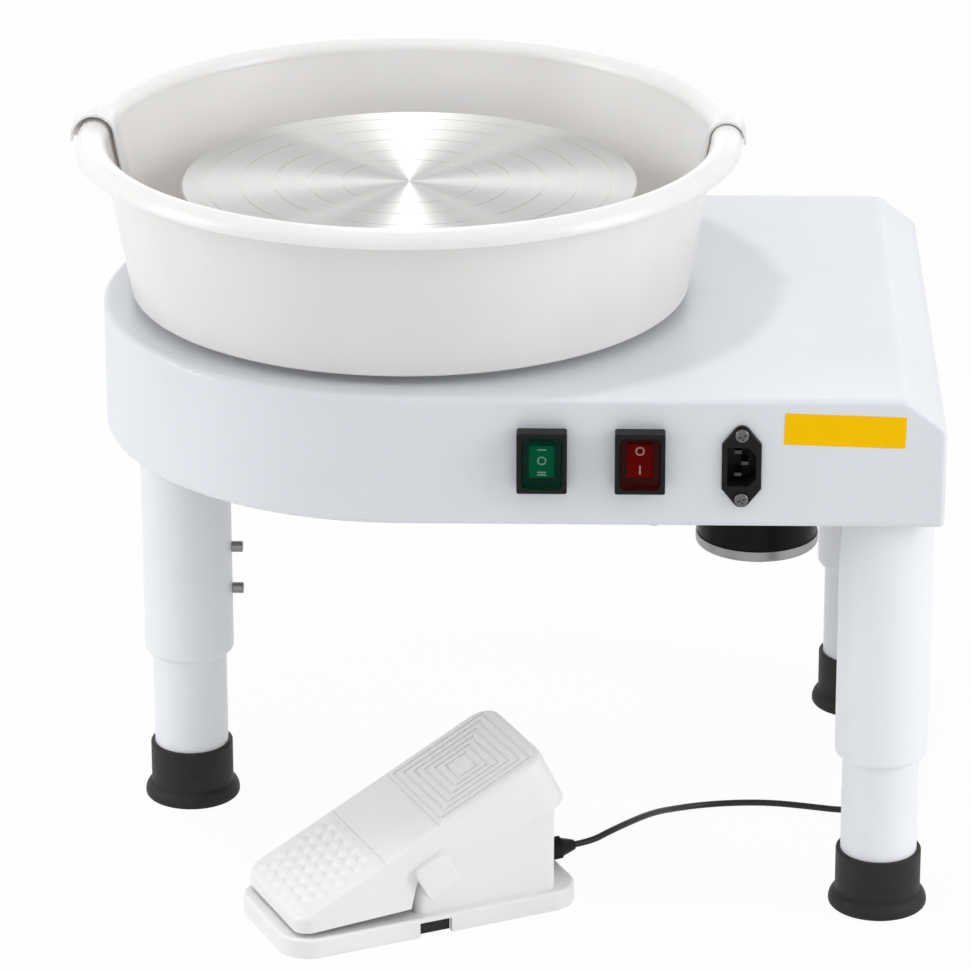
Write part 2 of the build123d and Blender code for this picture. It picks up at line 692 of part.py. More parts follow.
def pan_rear():
    """Rear half, with a sleeve over each seam."""
    reach = PAN_RIM_DIAMETER
    half = whole_pan() & block((-reach, SEAM_Y + SEAM_GAP / 2, 0), (reach, reach, 2 * TABLE_HEIGHT))
    half += seam_sleeve(SEAM_GAP_RIGHT, SEAM_DRIFT)
    half += mirror(seam_sleeve(SEAM_GAP_LEFT, SEAM_DRIFT), Plane.YZ)
    return half


# Wheel head, spindle and bearings
def wheel_head():
    """Turned disc with centring grooves and a hub that sits on the spindle."""
    disc = rod(WHEEL_DIAMETER / 2, WHEEL_LOW, WHEEL_TOP)
    disc = chamfer(disc.edges(), WHEEL_EDGE)
    for diameter in GROOVE_DIAMETERS:
        outer = (diameter + GROOVE_WIDTH) / 2
        disc -= ring(outer, outer - GROOVE_WIDTH, WHEEL_TOP - GROOVE_DEPTH, WHEEL_TOP)
    head = disc + rod(HUB_DIAMETER / 2, HUB_LOW, WHEEL_LOW)
    head -= rod(SPINDLE_DIAMETER / 2, HUB_LOW, WHEEL_LOW + SPINDLE_SEAT)
    return head - grub_bar(SPINDLE_DIAMETER / 4, HUB_DIAMETER)


def grub_bar(low, high):
    """Bar across the hub at half its length, between two distances from the wheel axis."""
    place = Pos((low + high) / 2, 0, HUB_LOW + HUB_LENGTH / 2) * Rot(0, 90, 0)
    return place * Cylinder(GRUB_DIAMETER / 2, high - low)


def head_grub_screw():
    """Socket set screw, just below the surface of the hub."""
    seat = SPINDLE_DIAMETER / 2
    mouth = HUB_DIAMETER / 2 - GRUB_SINK
    socket = extrude(RegularPolygon(GRUB_DIAMETER / 4, 6), GRUB_DIAMETER)
    place = Pos(mouth - GRUB_DIAMETER / 2, 0, HUB_LOW + HUB_LENGTH / 2) * Rot(0, 90, 0)
    return grub_bar(seat, mouth) - place * socket


def spindle():
    shaft = rod(SPINDLE_DIAMETER / 2, NUT_LOW - SPINDLE_END, WHEEL_LOW + SPINDLE_SEAT)
    return shaft + rod(SHOULDER_DIAMETER / 2, UPPER_BEARING_TOP, HUB_LOW)


def housing_radius():
    return BEARING_DIAMETER / 2 + HOUSING_WALL


def bearing_housing():
    """Flanged tube bolted to the table top, bored for a bearing at each end."""
    seat = BEARING_DIAMETER / 2
    low = LOWER_BEARING_LOW - 2 * CIRCLIP_SHEET
    high = UPPER_BEARING_TOP + CIRCLIP_SHEET
    tube = rod(housing_radius(), low, high)
    tube += rod(HOUSING_FLANGE / 2, TABLE_HEIGHT, TABLE_HEIGHT + HOUSING_FLANGE_SHEET)
    tube -= rod(seat - HOUSING_STEP, low, high)
    tube -= rod(seat, low, LOWER_BEARING_TOP) + rod(seat, UPPER_BEARING_LOW, high)
    tube -= rod(seat + CIRCLIP_DEPTH, LOWER_BEARING_LOW - CIRCLIP_SHEET, LOWER_BEARING_LOW)
    for place in circle_places(4, HOUSING_BOLT_CIRCLE_DIAMETER / 2, 45):
        tube -= place * housing_screw(0)
    return tube


def housing_screw(length):
    """Countersunk screw through the flange and the table top."""
    top = TABLE_HEIGHT + HOUSING_FLANGE_SHEET
    radius = HOUSING_SCREW / 2
    cone = Pos(0, 0, top - radius / 2) * Cone(radius, 2 * radius, radius)
    return rod(radius, UNDERSIDE - length, top) + cone


def housing_screws():
    """Countersunk screws with a hexagon nut under the table top."""
    screws = []
    nut = extrude(Pos(0, 0, UNDERSIDE - HOUSING_SCREW) * RegularPolygon(HOUSING_SCREW, 6), HOUSING_SCREW)
    for place in circle_places(4, HOUSING_BOLT_CIRCLE_DIAMETER / 2, 45):
        screws.append(place * (housing_screw(1.5 * HOUSING_SCREW) + nut))
    return screws


def bearing_circlip():
    """Ring below the lower bearing, sprung into its groove in the housing."""
    seat = BEARING_DIAMETER / 2
    low = LOWER_BEARING_LOW - CIRCLIP_SHEET
    clip = ring(seat + CIRCLIP_DEPTH, seat - RACE_THICKNESS, low, LOWER_BEARING_LOW)
    ears = block((0, -SPACER_WALL, 0), (BEARING_DIAMETER, SPACER_WALL, TABLE_HEIGHT))
    return clip - ears


def ball_radius():
    """Radius of the circle on which the balls run."""
    return (BEARING_DIAMETER + SPINDLE_DIAMETER) / 4


def bearing_levels():
    return [low + BEARING_WIDTH / 2 for low in (LOWER_BEARING_LOW, UPPER_BEARING_LOW)]


def race(outer, inner, level):
    """Bearing ring with a groove for the balls."""
    track = Pos(0, 0, level) * Torus(ball_radius(), BALL_DIAMETER / 2 + BALL_GAP)
    return ring(outer, inner, level - BEARING_WIDTH / 2, level + BEARING_WIDTH / 2) - track


def bearing_outer_rings():
    seat = BEARING_DIAMETER / 2
    return [race(seat, seat - RACE_THICKNESS, level) for level in bearing_levels()]


def bearing_inner_rings():
    bore = SPINDLE_DIAMETER / 2
    return [race(bore + RACE_THICKNESS, bore, level) for level in bearing_levels()]


def bearing_balls():
    balls = []
    for level in bearing_levels():
        for place in circle_places(BALL_COUNT, ball_radius()):
            balls.append(place * Pos(0, 0, level) * Sphere(BALL_DIAMETER / 2))
    return balls


# Belt drive
def belt_level():
    return (PULLEY_LOW + PULLEY_TOP) / 2


def pulley_rim(diameter):
    """Flat pulley with a flange above and below the belt."""
    outer = diameter / 2 + PULLEY_FLANGE
    half = BELT_WIDTH / 2 + BELT_SIDE_GAP
    return rod(outer, PULLEY_LOW, PULLEY_TOP) - ring(
        outer, diameter / 2, belt_level() - half, belt_level() + half)


def wheel_pulley():
    """Driven pulley: rim, thin web with round openings, and hub."""
    inner = WHEEL_PULLEY_DIAMETER / 2 - PULLEY_WEB
    hub = PULLEY_HUB_DIAMETER / 2
    pulley = pulley_rim(WHEEL_PULLEY_DIAMETER)
    pulley -= ring(inner, hub, belt_level() + PULLEY_WEB / 2, PULLEY_TOP)
    pulley -= ring(inner, hub, PULLEY_LOW, belt_level() - PULLEY_WEB / 2)
    pulley += rod(hub, PULLEY_TOP, PULLEY_HUB_TOP)
    for place in circle_places(PULLEY_HOLE_COUNT, (inner + hub) / 2):
        pulley -= place * rod(PULLEY_HOLE_DIAMETER / 2, PULLEY_LOW, PULLEY_TOP)
    return pulley - rod(SPINDLE_DIAMETER / 2, PULLEY_LOW, PULLEY_HUB_TOP)


def spindle_spacer():
    radius = SPINDLE_DIAMETER / 2
    return ring(radius + SPACER_WALL, radius, PULLEY_HUB_TOP, LOWER_BEARING_LOW)


def spindle_nut():
    nut = extrude(Pos(0, 0, NUT_LOW) * RegularPolygon(NUT_WIDTH / 2, 6, major_radius=False), NUT_HEIGHT)
    return nut - rod(SPINDLE_DIAMETER / 2, NUT_LOW, PULLEY_LOW)


def belt_loop(extra):
    """Face inside a loop round both pulleys, standing off their rims by extra."""
    large = Circle(WHEEL_PULLEY_DIAMETER / 2 + extra)
    small = Pos(MOTOR_X, 0) * Circle(MOTOR_PULLEY_DIAMETER / 2 + extra)
    return make_hull((large + small).edges())


def drive_belt():
    loop = belt_loop(BELT_GAP + BELT_SHEET) - belt_loop(BELT_GAP)
    return extrude(Pos(0, 0, belt_level() - BELT_WIDTH / 2) * loop, BELT_WIDTH)


def motor_pulley():
    pulley = pulley_rim(MOTOR_PULLEY_DIAMETER)
    pulley -= rod(MOTOR_SHAFT_DIAMETER / 2, PULLEY_LOW, PULLEY_TOP)
    return Pos(MOTOR_X, 0, 0) * pulley


# Motor
def motor_shaft():
    """Shaft with a flat for the pulley's screw."""
    shaft = rod(MOTOR_SHAFT_DIAMETER / 2, MOTOR_TOP - MOTOR_SHAFT_DEPTH, PULLEY_TOP + SPINDLE_END)
    return Pos(MOTOR_X, 0, 0) * shaft


def motor_barrel():
    """Barrel bored for its shaft and tapped for the bracket screws."""
    low = MOTOR_LOW + MOTOR_CAP_HEIGHT
    barrel = rod(MOTOR_DIAMETER / 2, low, MOTOR_TOP)
    bore = MOTOR_SHAFT_DIAMETER / 2 + RUN_GAP
    barrel -= rod(bore, MOTOR_TOP - MOTOR_SHAFT_DEPTH - RUN_GAP, MOTOR_TOP)
    for place in circle_places(4, MOTOR_BOLT_CIRCLE_DIAMETER / 2, 45):
        barrel -= place * rod(MOTOR_SCREW / 2, MOTOR_TOP - 2 * MOTOR_SCREW, MOTOR_TOP)
    return Pos(MOTOR_X, 0, 0) * barrel


def motor_end_cap():
    """Bare metal cap closing the lower end of the barrel."""
    radius = MOTOR_DIAMETER / 2 + MOTOR_CAP_LIP
    cap = rod(radius, MOTOR_LOW, MOTOR_LOW + MOTOR_CAP_HEIGHT)
    cap = fillet(cap.edges().group_by(Axis.Z)[0], MOTOR_CAP_HEIGHT / 3)
    cap -= rod(MOTOR_SHAFT_DIAMETER, MOTOR_LOW, MOTOR_LOW + MOTOR_CAP_LIP)
    return Pos(MOTOR_X, 0, 0) * cap


def motor_bracket():
    """Channel hung from the table top that carries the motor."""
    length = BRACKET_LENGTH / 2
    width = BRACKET_WIDTH / 2
    bracket = block((-length, -width, MOTOR_TOP), (length, width, BRACKET_TOP))
    for side in (-1, 1):
        wall = sorted((side * width, side * (width - BRACKET_SHEET)))
        foot = sorted((side * width, side * (width + BRACKET_FOOT)))
        bracket += block((-length, wall[0], BRACKET_TOP), (length, wall[1], UNDERSIDE))
        bracket += block((-length, foot[0], UNDERSIDE - BRACKET_SHEET), (length, foot[1], UNDERSIDE))
    bracket -= rod(MOTOR_SHAFT_DIAMETER, MOTOR_TOP, BRACKET_TOP)
    for place in circle_places(4, MOTOR_BOLT_CIRCLE_DIAMETER / 2, 45):
        bracket -= place * rod(MOTOR_SCREW / 2, MOTOR_TOP, BRACKET_TOP)
    return Pos(MOTOR_X, 0, 0) * bracket


def motor_screws():
    """Pan-head screws through the bracket into the barrel."""
    screw = rod(MOTOR_SCREW / 2, MOTOR_TOP - 2 * MOTOR_SCREW, BRACKET_TOP)
    screw += rod(MOTOR_SCREW, BRACKET_TOP, BRACKET_TOP + MOTOR_SCREW / 2)
    return [Pos(MOTOR_X, 0, 0) * place * screw for place in circle_places(4, MOTOR_BOLT_CIRCLE_DIAMETER / 2, 45)]


# Speed control board
def board_top():
    return UNDERSIDE - STANDOFF_HEIGHT


def board_corners():
    x = BOARD_LENGTH / 2 - STANDOFF_INSET
    y = BOARD_WIDTH / 2 - STANDOFF_INSET
    return [Pos(BOARD_X + sx * x, BOARD_Y + sy * y, 0) for sx in (-1, 1) for sy in (-1, 1)]


def control_board():
    """Circuit board with its terminal strip, relay and two capacitors on the underside."""
    top = board_top()
    low = top - BOARD_SHEET
    board = Pos(BOARD_X, BOARD_Y, (top + low) / 2) * Box(BOARD_LENGTH, BOARD_WIDTH, BOARD_SHEET)
    for place in board_corners():
        board -= place * rod(STANDOFF_DIAMETER / 4, low, top)
    strip = (BOARD_LENGTH / 2, BOARD_WIDTH / 7, BOARD_WIDTH / 6)
    board += Pos(BOARD_X, BOARD_Y - BOARD_WIDTH / 2 + strip[1], low - strip[2] / 2) * Box(*strip)
    relay = BOARD_LENGTH / 6
    y = BOARD_Y - BOARD_WIDTH / 10
    board += Pos(BOARD_X + BOARD_LENGTH / 4, y, low - relay / 2) * Box(relay, relay, relay)
    for side in (0, 1):
        can = rod(BOARD_WIDTH / 12, low - BOARD_WIDTH / 4, low)
        board += Pos(BOARD_X - BOARD_LENGTH / 4 + side * BOARD_WIDTH / 4, y, 0) * can
    return board


def board_heatsink():
    """Finned heat sink under the rear edge of the board."""
    top = board_top() - BOARD_SHEET
    low = top - HEATSINK_HEIGHT
    y = BOARD_Y + BOARD_WIDTH / 2 - HEATSINK_WIDTH / 2
    pitch = HEATSINK_LENGTH / (HEATSINK_FINS - 0.5)
    sink = Pos(BOARD_X, y, (top + low) / 2) * Box(HEATSINK_LENGTH, HEATSINK_WIDTH, HEATSINK_HEIGHT)
    first = BOARD_X - HEATSINK_LENGTH / 2 + 0.75 * pitch
    for i in range(HEATSINK_FINS - 1):
        slot = Box(pitch / 2, HEATSINK_WIDTH, 0.8 * HEATSINK_HEIGHT)
        sink -= Pos(first + i * pitch, y, low + 0.4 * HEATSINK_HEIGHT) * slot
    return sink


def board_standoffs():
    """Brass standoffs under the table top, each with the screw that holds the board."""
    post = rod(STANDOFF_DIAMETER / 2, board_top(), UNDERSIDE)
    low = board_top() - BOARD_SHEET
    post += rod(STANDOFF_DIAMETER / 4, low, board_top())
    post += rod(STANDOFF_DIAMETER / 2, low - STANDOFF_DIAMETER / 4, low)
    return [place * post for place in board_corners()]


# Switches, drawn facing +Z with the panel's face on Z = 0
def soft_box(width, height, low, high, corner):
    """Block with rounded upright edges."""
    return extrude(Pos(0, 0, low) * RectangleRounded(width, height, corner), high - low)


def hood_size():
    return BEZEL_WIDTH - 2 * BEZEL_FRAME, BEZEL_HEIGHT - 2 * BEZEL_FRAME


def rocker_room():
    """Width and height of the well that the rocker swings in."""
    return ROCKER_WIDTH + 2 * ROCKER_GAP, ROCKER_HEIGHT + 2 * ROCKER_ROOM


def switch_frame():
    """Black frame with the well for its rocker and a body behind the panel."""
    frame = soft_box(BEZEL_WIDTH, BEZEL_HEIGHT, 0, BEZEL_DEPTH, BEZEL_FRAME / 2)
    frame = fillet(frame.faces().sort_by(Axis.Z)[-1].edges(), BEZEL_FRAME / 4)
    frame -= soft_box(*hood_size(), BEZEL_SEAT, BEZEL_DEPTH, HOOD_ROUND)
    frame += Pos(0, 0, -SWITCH_DEPTH / 2) * Box(SWITCH_WIDTH, SWITCH_HEIGHT, SWITCH_DEPTH)
    room = rocker_room()
    well = ROCKER_AXIS - ROCKER_HEIGHT / 2
    frame -= Pos(0, 0, (well + BEZEL_SEAT) / 2) * Box(*room, BEZEL_SEAT - well)
    pin = Cylinder(ROCKER_TRUNNION / 2 + PIN_GAP, SWITCH_WIDTH - BEZEL_SEAT)
    frame -= Pos(0, 0, ROCKER_AXIS) * Rot(0, 90, 0) * pin
    for side in (-1, 1):
        lug = Box(BLADE_WIDTH, BLADE_SHEET / 2, BLADE_TAIL)
        frame += Pos(0, side * SWITCH_HEIGHT / 4, -SWITCH_DEPTH - BLADE_TAIL / 2) * lug
    return frame


def rocker():
    """Dished rocker with a round back and two trunnions."""
    half = ROCKER_HEIGHT / 2
    face = ROCKER_PROUD - ROCKER_AXIS
    outline = [
        (-half, 0), (-half, face), (0, face - ROCKER_DISH), (half, face), (half, 0),
        (ROCKER_BACK, -ROCKER_BACK), (-ROCKER_BACK, -ROCKER_BACK),
    ]
    side = Plane(origin=(0, 0, 0), x_dir=(0, 1, 0), z_dir=(1, 0, 0))
    body = extrude(side * make_face(Polyline(*outline, close=True)), ROCKER_WIDTH / 2, both=True)
    pin = Cylinder(ROCKER_TRUNNION / 2, SWITCH_WIDTH - BEZEL_SEAT - 2 * PIN_GAP)
    return body + Rot(0, 90, 0) * pin


def splash_hood():
    """Clear cap over the rocker, seated in the frame."""
    width, height = hood_size()
    width -= 2 * PIN_GAP
    height -= 2 * PIN_GAP
    top = BEZEL_DEPTH + HOOD_PROUD
    cap = soft_box(width, height, BEZEL_SEAT, top, HOOD_ROUND)
    cap = fillet(cap.faces().sort_by(Axis.Z)[-1].edges(), HOOD_SHEET)
    inner = (width - 2 * HOOD_SHEET, height - 2 * HOOD_SHEET)
    return cap - soft_box(*inner, BEZEL_SEAT, top - HOOD_SHEET, HOOD_ROUND - HOOD_SHEET)


def on_panel(x, z, piece):
    """Piece drawn facing +Z, placed on the front panel."""
    return FRONT_PANEL * Pos(x, z, 0) * piece


def placed_rocker(x, tilt):
    return on_panel(x, SWITCH_Z, Pos(0, 0, ROCKER_AXIS) * Rot(tilt, 0, 0) * rocker())


# Mains inlet, drawn facing +Z with the panel's face on Z = 0
def inlet_body_size():
    return SOCKET_WIDTH + 2 * SOCKET_WALL, SOCKET_HEIGHT + 2 * SOCKET_WALL


def socket_face():
    """Mouth of the inlet, with two cut corners on its right side."""
    x = SOCKET_WIDTH / 2
    y = SOCKET_HEIGHT / 2
    cut = SOCKET_CHAMFER
    return make_face(Polyline(
        (-x, -y), (x - cut, -y), (x, -y + cut), (x, y - cut), (x - cut, y), (-x, y), close=True))


def inlet_socket():
    """Flanged inlet: the flange tapers to a round ear at each screw."""
    half = INLET_WIDTH / 2
    ears = [Pos(0, side * INLET_SCREW_PITCH / 2) * Circle(INLET_END_ROUND) for side in (-1, 1)]
    middle = Rectangle(2 * half, INLET_STRAIGHT)
    flange = extrude(make_hull((middle + ears[0] + ears[1]).edges()), INLET_FLANGE)
    flange = chamfer(flange.faces().sort_by(Axis.Z)[-1].edges(), INLET_FLANGE / 4)
    width, height = inlet_body_size()
    body = flange + Pos(0, 0, -INLET_BODY_DEPTH / 2) * Box(width, height, INLET_BODY_DEPTH)
    body -= extrude(Pos(0, 0, INLET_FLANGE - SOCKET_DEPTH) * socket_face(), SOCKET_DEPTH)
    for side in (-1, 1):
        body -= Pos(0, side * INLET_SCREW_PITCH / 2, 0) * rod(INLET_SCREW / 2, 0, INLET_FLANGE)
    for blade in inlet_blades():
        body -= blade
    return body


def inlet_blades():
    """Three flat contact blades with solder tails behind the body."""
    blades = []
    low = -INLET_BODY_DEPTH - BLADE_TAIL
    high = INLET_FLANGE - BLADE_RECESS
    for row in (-1, 0, 1):
        x = BLADE_OFFSET / 2 - BLADE_OFFSET * abs(row)
        y = row * BLADE_PITCH / 2
        blades.append(Pos(x, y, (low + high) / 2) * Box(BLADE_WIDTH, BLADE_SHEET, high - low))
    return blades


def inlet_screws():
    """Cross-head screws with a nut behind the panel."""
    head = INLET_SCREW_HEAD / 2
    high = INLET_FLANGE + INLET_SCREW_HEAD_HEIGHT
    screw = rod(head, INLET_FLANGE, high)
    screw = fillet(screw.edges().group_by(Axis.Z)[-1], INLET_SCREW_HEAD_HEIGHT / 2)
    for turn in (0, 90):
        slot = Box(1.2 * head, INLET_SCREW_HEAD_HEIGHT / 2, INLET_SCREW_HEAD_HEIGHT)
        screw -= Pos(0, 0, high) * Rot(0, 0, turn + INLET_SCREW_TURN) * slot
    screw += rod(INLET_SCREW / 2, -SHEET - 1.5 * INLET_SCREW, INLET_FLANGE)
    nut = extrude(Pos(0, 0, -SHEET) * RegularPolygon(INLET_SCREW, 6), -0.8 * INLET_SCREW)
    return [Pos(0, side * INLET_SCREW_PITCH / 2, 0) * (screw + nut) for side in (-1, 1)]


# Foot pedal
def pedal_base():
    """Rounded base plate, hollow below, with a channel across it for the grip bar."""
    base = soft_box(PEDAL_LENGTH, PEDAL_WIDTH, 0, PEDAL_BASE_HEIGHT, PEDAL_CORNER)
    base = fillet(base.faces().sort_by(Axis.Z)[-1].edges(), PEDAL_EDGE)
    base -= soft_box(
        PEDAL_LENGTH - 2 * PEDAL_SHEET, PEDAL_WIDTH - 2 * PEDAL_SHEET,
        0, PEDAL_BASE_HEIGHT - PEDAL_SHEET, PEDAL_CORNER - PEDAL_SHEET,
    )
    base -= block(
        (GRIP_X - GRIP_WIDTH / 2, -PEDAL_WIDTH, 0),
        (GRIP_X + GRIP_WIDTH / 2, PEDAL_WIDTH, PEDAL_BASE_HEIGHT - PEDAL_SHEET),
    )
    for place in pedal_screw_places():
        base -= place * rod(COVER_SCREW / 2, 0, PEDAL_BASE_HEIGHT)
    return base


def grip_bar():
    """Rubber bar in the channel of the base."""
    half = PEDAL_WIDTH / 2 - GRIP_INSET
    return block(
        (GRIP_X - GRIP_WIDTH / 2 + SLIDE_GAP, -half, GRIP_LOW),
        (GRIP_X + GRIP_WIDTH / 2 - SLIDE_GAP, half, PEDAL_BASE_HEIGHT - PEDAL_SHEET),
    )


def housing_half_width():
    return TREADLE_WIDTH / 2 - TREADLE_SHEET - TREADLE_GAP


def treadle_height(x):
    """Height of the treadle's top surface above a place along the pedal."""
    return HEEL_TOP + (x - HEEL_X) * tan(radians(TREADLE_SLOPE))


def pressed_ceiling(x):
    """Height of the treadle's inside with the toe pressed right down."""
    slope = radians(TREADLE_SLOPE)
    pressed = radians(TREADLE_SLOPE - TREADLE_PRESS)
    reach = (treadle_height(PIVOT_X) - PIVOT_Z) * cos(slope) - TREADLE_SHEET
    return PIVOT_Z + reach / cos(pressed) + (x - PIVOT_X) * tan(pressed)


def pedal_housing():
    """Box on the base that carries the treadle's pin and holds the speed sender."""
    half = housing_half_width()
    length = HOUSING_BACK - HOUSING_FRONT
    middle = (HOUSING_BACK + HOUSING_FRONT) / 2
    clear = 2 * TREADLE_GAP
    ceiling = [
        (HOUSING_FRONT - clear, 0), (HOUSING_BACK + clear, 0),
        (HOUSING_BACK + clear, pressed_ceiling(HOUSING_BACK) - clear),
        (HOUSING_FRONT - clear, pressed_ceiling(HOUSING_FRONT) - clear),
    ]
    box = Pos(middle, 0, 0) * soft_box(length, 2 * half, PEDAL_BASE_HEIGHT, 4 * PIVOT_Z, HOUSING_CORNER)
    box &= side_slab(ceiling, PEDAL_WIDTH)
    rest = treadle_outline(TOE_CORNER - TREADLE_SHEET)[-3:]
    box &= side_slab(rest + [(HEEL_X, 0), (PEDAL_LENGTH, 0)], PEDAL_WIDTH)
    hollow = Pos(middle, 0, 0) * soft_box(
        length - 2 * HOUSING_SHEET, 2 * (half - HOUSING_SHEET),
        PEDAL_BASE_HEIGHT, 4 * PIVOT_Z, HOUSING_CORNER - HOUSING_SHEET,
    )
    box -= hollow
    box -= pin_bore(half, PIN_DIAMETER / 2)
    gland_hole = Rot(0, 90, 0) * Cylinder(gland_neck(), 4 * HOUSING_SHEET)
    box -= Pos(HOUSING_BACK, PEDAL_GLAND_Y, PEDAL_GLAND_Z) * gland_hole
    for place in pedal_screw_places():
        post = rod(COVER_SCREW, PEDAL_BASE_HEIGHT, PEDAL_BASE_HEIGHT + 2 * COVER_SCREW)
        post -= rod(COVER_SCREW / 2, PEDAL_BASE_HEIGHT, PEDAL_BASE_HEIGHT + 2 * COVER_SCREW)
        box += place * post
    return box


def pin_bore(half, radius):
    return Pos(PIVOT_X, 0, PIVOT_Z) * Rot(90, 0, 0) * Cylinder(radius, 4 * half)


def pedal_screw_places():
    """Screw posts against the inner side walls of the housing."""
    y = housing_half_width() - HOUSING_SHEET - POST_WALL - COVER_SCREW / 2
    inset = HOUSING_CORNER + 2 * COVER_SCREW
    ends = (HOUSING_FRONT + inset + GRIP_WIDTH, HOUSING_BACK - inset)
    return [Pos(x, side * y, 0) for x in ends for side in (-1, 1)]


def pedal_screws():
    """Screws from below that hold the housing to the base."""
    low = PEDAL_BASE_HEIGHT - PEDAL_SHEET
    screw = rod(COVER_SCREW / 2, low, PEDAL_BASE_HEIGHT + 1.5 * COVER_SCREW)
    screw += rod(0.9 * COVER_SCREW, low - COVER_SCREW / 2, low)
    return [place * screw for place in pedal_screw_places()]


def treadle_outline(inset):
    """Side view of the treadle, drawn in from its top, heel and toe by inset."""
    slope = radians(TREADLE_SLOPE)
    heel = HEEL_X + inset
    heel_top = treadle_height(heel) - inset / cos(slope)
    along = TREADLE_LENGTH - inset
    toe_x = HEEL_X + along * cos(slope) + inset * sin(slope)
    toe_z = HEEL_TOP + along * sin(slope) - inset * cos(slope)
    depth = TOE_DEPTH - inset
    toe_low = (toe_x + depth * sin(slope), toe_z - depth * cos(slope))
    step = (SKIRT_X + SKIRT_STEP, PIVOT_Z + BOSS_SIZE / 4)
    return [
        (heel, HEEL_LOW), (SKIRT_X, SKIRT_LOW), step,
        (PIVOT_X + BOSS_SIZE / 2, PIVOT_Z + BOSS_SIZE / 4), toe_low, (toe_x, toe_z), (heel, heel_top),
    ]


def treadle_body(inset):
    """Treadle block, drawn in by inset, with the upright edges of its heel and toe rounded."""
    half = TREADLE_WIDTH / 2 - inset
    body = side_slab(treadle_outline(inset), half)
    for end, corner in ((0, HEEL_CORNER), (-1, TOE_CORNER)):
        ends = body.faces().filter_by(lambda f: abs(f.normal_at().Y) < 0.1)
        face = ends.sort_by(Axis.X)[end]
        edges = [e for e in face.edges() if abs(e.tangent_at(0.5).Y) < 0.5]
        body = fillet(edges, corner - inset)
    return body


def treadle_bumps():
    """Staggered rows of low domes on the heel."""
    centre = BUMP_HEIGHT - BUMP_RADIUS
    bumps = []
    for row in range(BUMP_ROWS):
        count = BUMP_COLUMNS - row % 2
        for column in range(count):
            y = (column - (count - 1) / 2) * BUMP_PITCH
            dome = Pos(0, 0, centre) * Sphere(BUMP_RADIUS)
            dome &= Pos(0, 0, BUMP_HEIGHT / 2 - TREADLE_SHEET / 4) * Box(
                4 * BUMP_RADIUS, 4 * BUMP_RADIUS, BUMP_HEIGHT + TREADLE_SHEET / 2)
            bumps.append(TREADLE_TOP * Pos(BUMP_START + row * BUMP_ROW_PITCH, y, 0) * dome)
    return bumps


def treadle_grooves():
    """Nested rectangular grooves on the toe and the two lines of the plain band."""
    grooves = []
    middle = (RIB_START + RIB_END) / 2
    for i in range(RIB_RINGS):
        length = RIB_END - RIB_START - 2 * i * RIB_PITCH
        width = 2 * (RIB_HALF_WIDTH - i * RIB_PITCH)
        frame = Rectangle(length, width) - Rectangle(length - 2 * RIB_WIDTH, width - 2 * RIB_WIDTH)
        grooves.append(TREADLE_TOP * Pos(middle, 0, -RIB_DEPTH) * extrude(frame, 2 * RIB_DEPTH))
    for place in (BAND_START, BAND_END):
        line = Box(BAND_LINE, TREADLE_WIDTH, 2 * BAND_DEPTH)
        grooves.append(TREADLE_TOP * Pos(place, 0, 0) * line)
    return grooves


def treadle():
    """Moulded foot plate with skirts, a square boss round each end of its pin, bumps and grooves."""
    half = TREADLE_WIDTH / 2
    body = treadle_body(0)
    top = body.faces().sort_by(lambda f: f.center().Z * (f.normal_at().Z > 0.5))[-1]
    body = fillet(top.edges(), TREADLE_EDGE)
    body -= treadle_body(TREADLE_SHEET) & block(
        (-PEDAL_LENGTH, -half, 0), (PEDAL_LENGTH, half, 4 * PIVOT_Z))
    for side in (-1, 1):
        tilt = Pos(PIVOT_X, side * half, PIVOT_Z) * Rot(0, -TREADLE_SLOPE, 0) * Rot(-side * 90, 0, 0)
        boss = soft_box(BOSS_SIZE, BOSS_SIZE, -TREADLE_SHEET, BOSS_HEIGHT, BOSS_ROUND)
        boss = fillet(boss.faces().sort_by(Axis.Z)[-1].edges(), BOSS_ROUND / 4)
        body += tilt * boss
    pin_hole = Rot(90, 0, 0) * Cylinder(PIN_DIAMETER / 2 + PIN_GAP, TREADLE_WIDTH + BOSS_HEIGHT)
    body -= Pos(PIVOT_X, 0, PIVOT_Z) * pin_hole
    for groove in treadle_grooves():
        body -= groove
    return body + treadle_bumps()


def treadle_pin():
    """Pin fixed in the housing, with its ends inside the treadle's bosses."""
    length = TREADLE_WIDTH + BOSS_HEIGHT - 2 * PIN_GAP
    return Pos(PIVOT_X, 0, PIVOT_Z) * Rot(90, 0, 0) * Cylinder(PIN_DIAMETER / 2, length)


# Speed sender, drawn in the pedal's side view with the treadle's pivot on the origin
def tooth(pitch_radius):
    """One straight-sided tooth on +X, standing on a gear of the given pitch radius."""
    root = pitch_radius - TOOTH_DEDENDUM
    tip = pitch_radius + TOOTH_ADDENDUM
    half = pi * TOOTH_MODULE / 4 - TOOTH_BACKLASH / 2
    low = half + TOOTH_LEAN * TOOTH_DEDENDUM
    high = half - TOOTH_LEAN * TOOTH_ADDENDUM
    sunk = root - TOOTH_ADDENDUM
    flank = [(sunk, low), (root, low), (tip, high)]
    mirrored = [(x, -y) for x, y in reversed(flank)]
    return make_face(Polyline(*flank, *mirrored, close=True))


def gear(pitch_radius, angles):
    """Face of a gear with teeth at the given angles."""
    face = Circle(pitch_radius - TOOTH_DEDENDUM)
    for angle in angles:
        face += Rot(0, 0, angle) * tooth(pitch_radius)
    return face


def sector_radius():
    return TOOTH_MODULE * SECTOR_TEETH / 2


def pinion_radius():
    return TOOTH_MODULE * PINION_TEETH / 2


def across(face, low, high):
    """Face of the side view made solid between two places across the pedal, at the pivot."""
    return Pos(PIVOT_X, high, PIVOT_Z) * extrude(Plane.XZ * face, high - low)


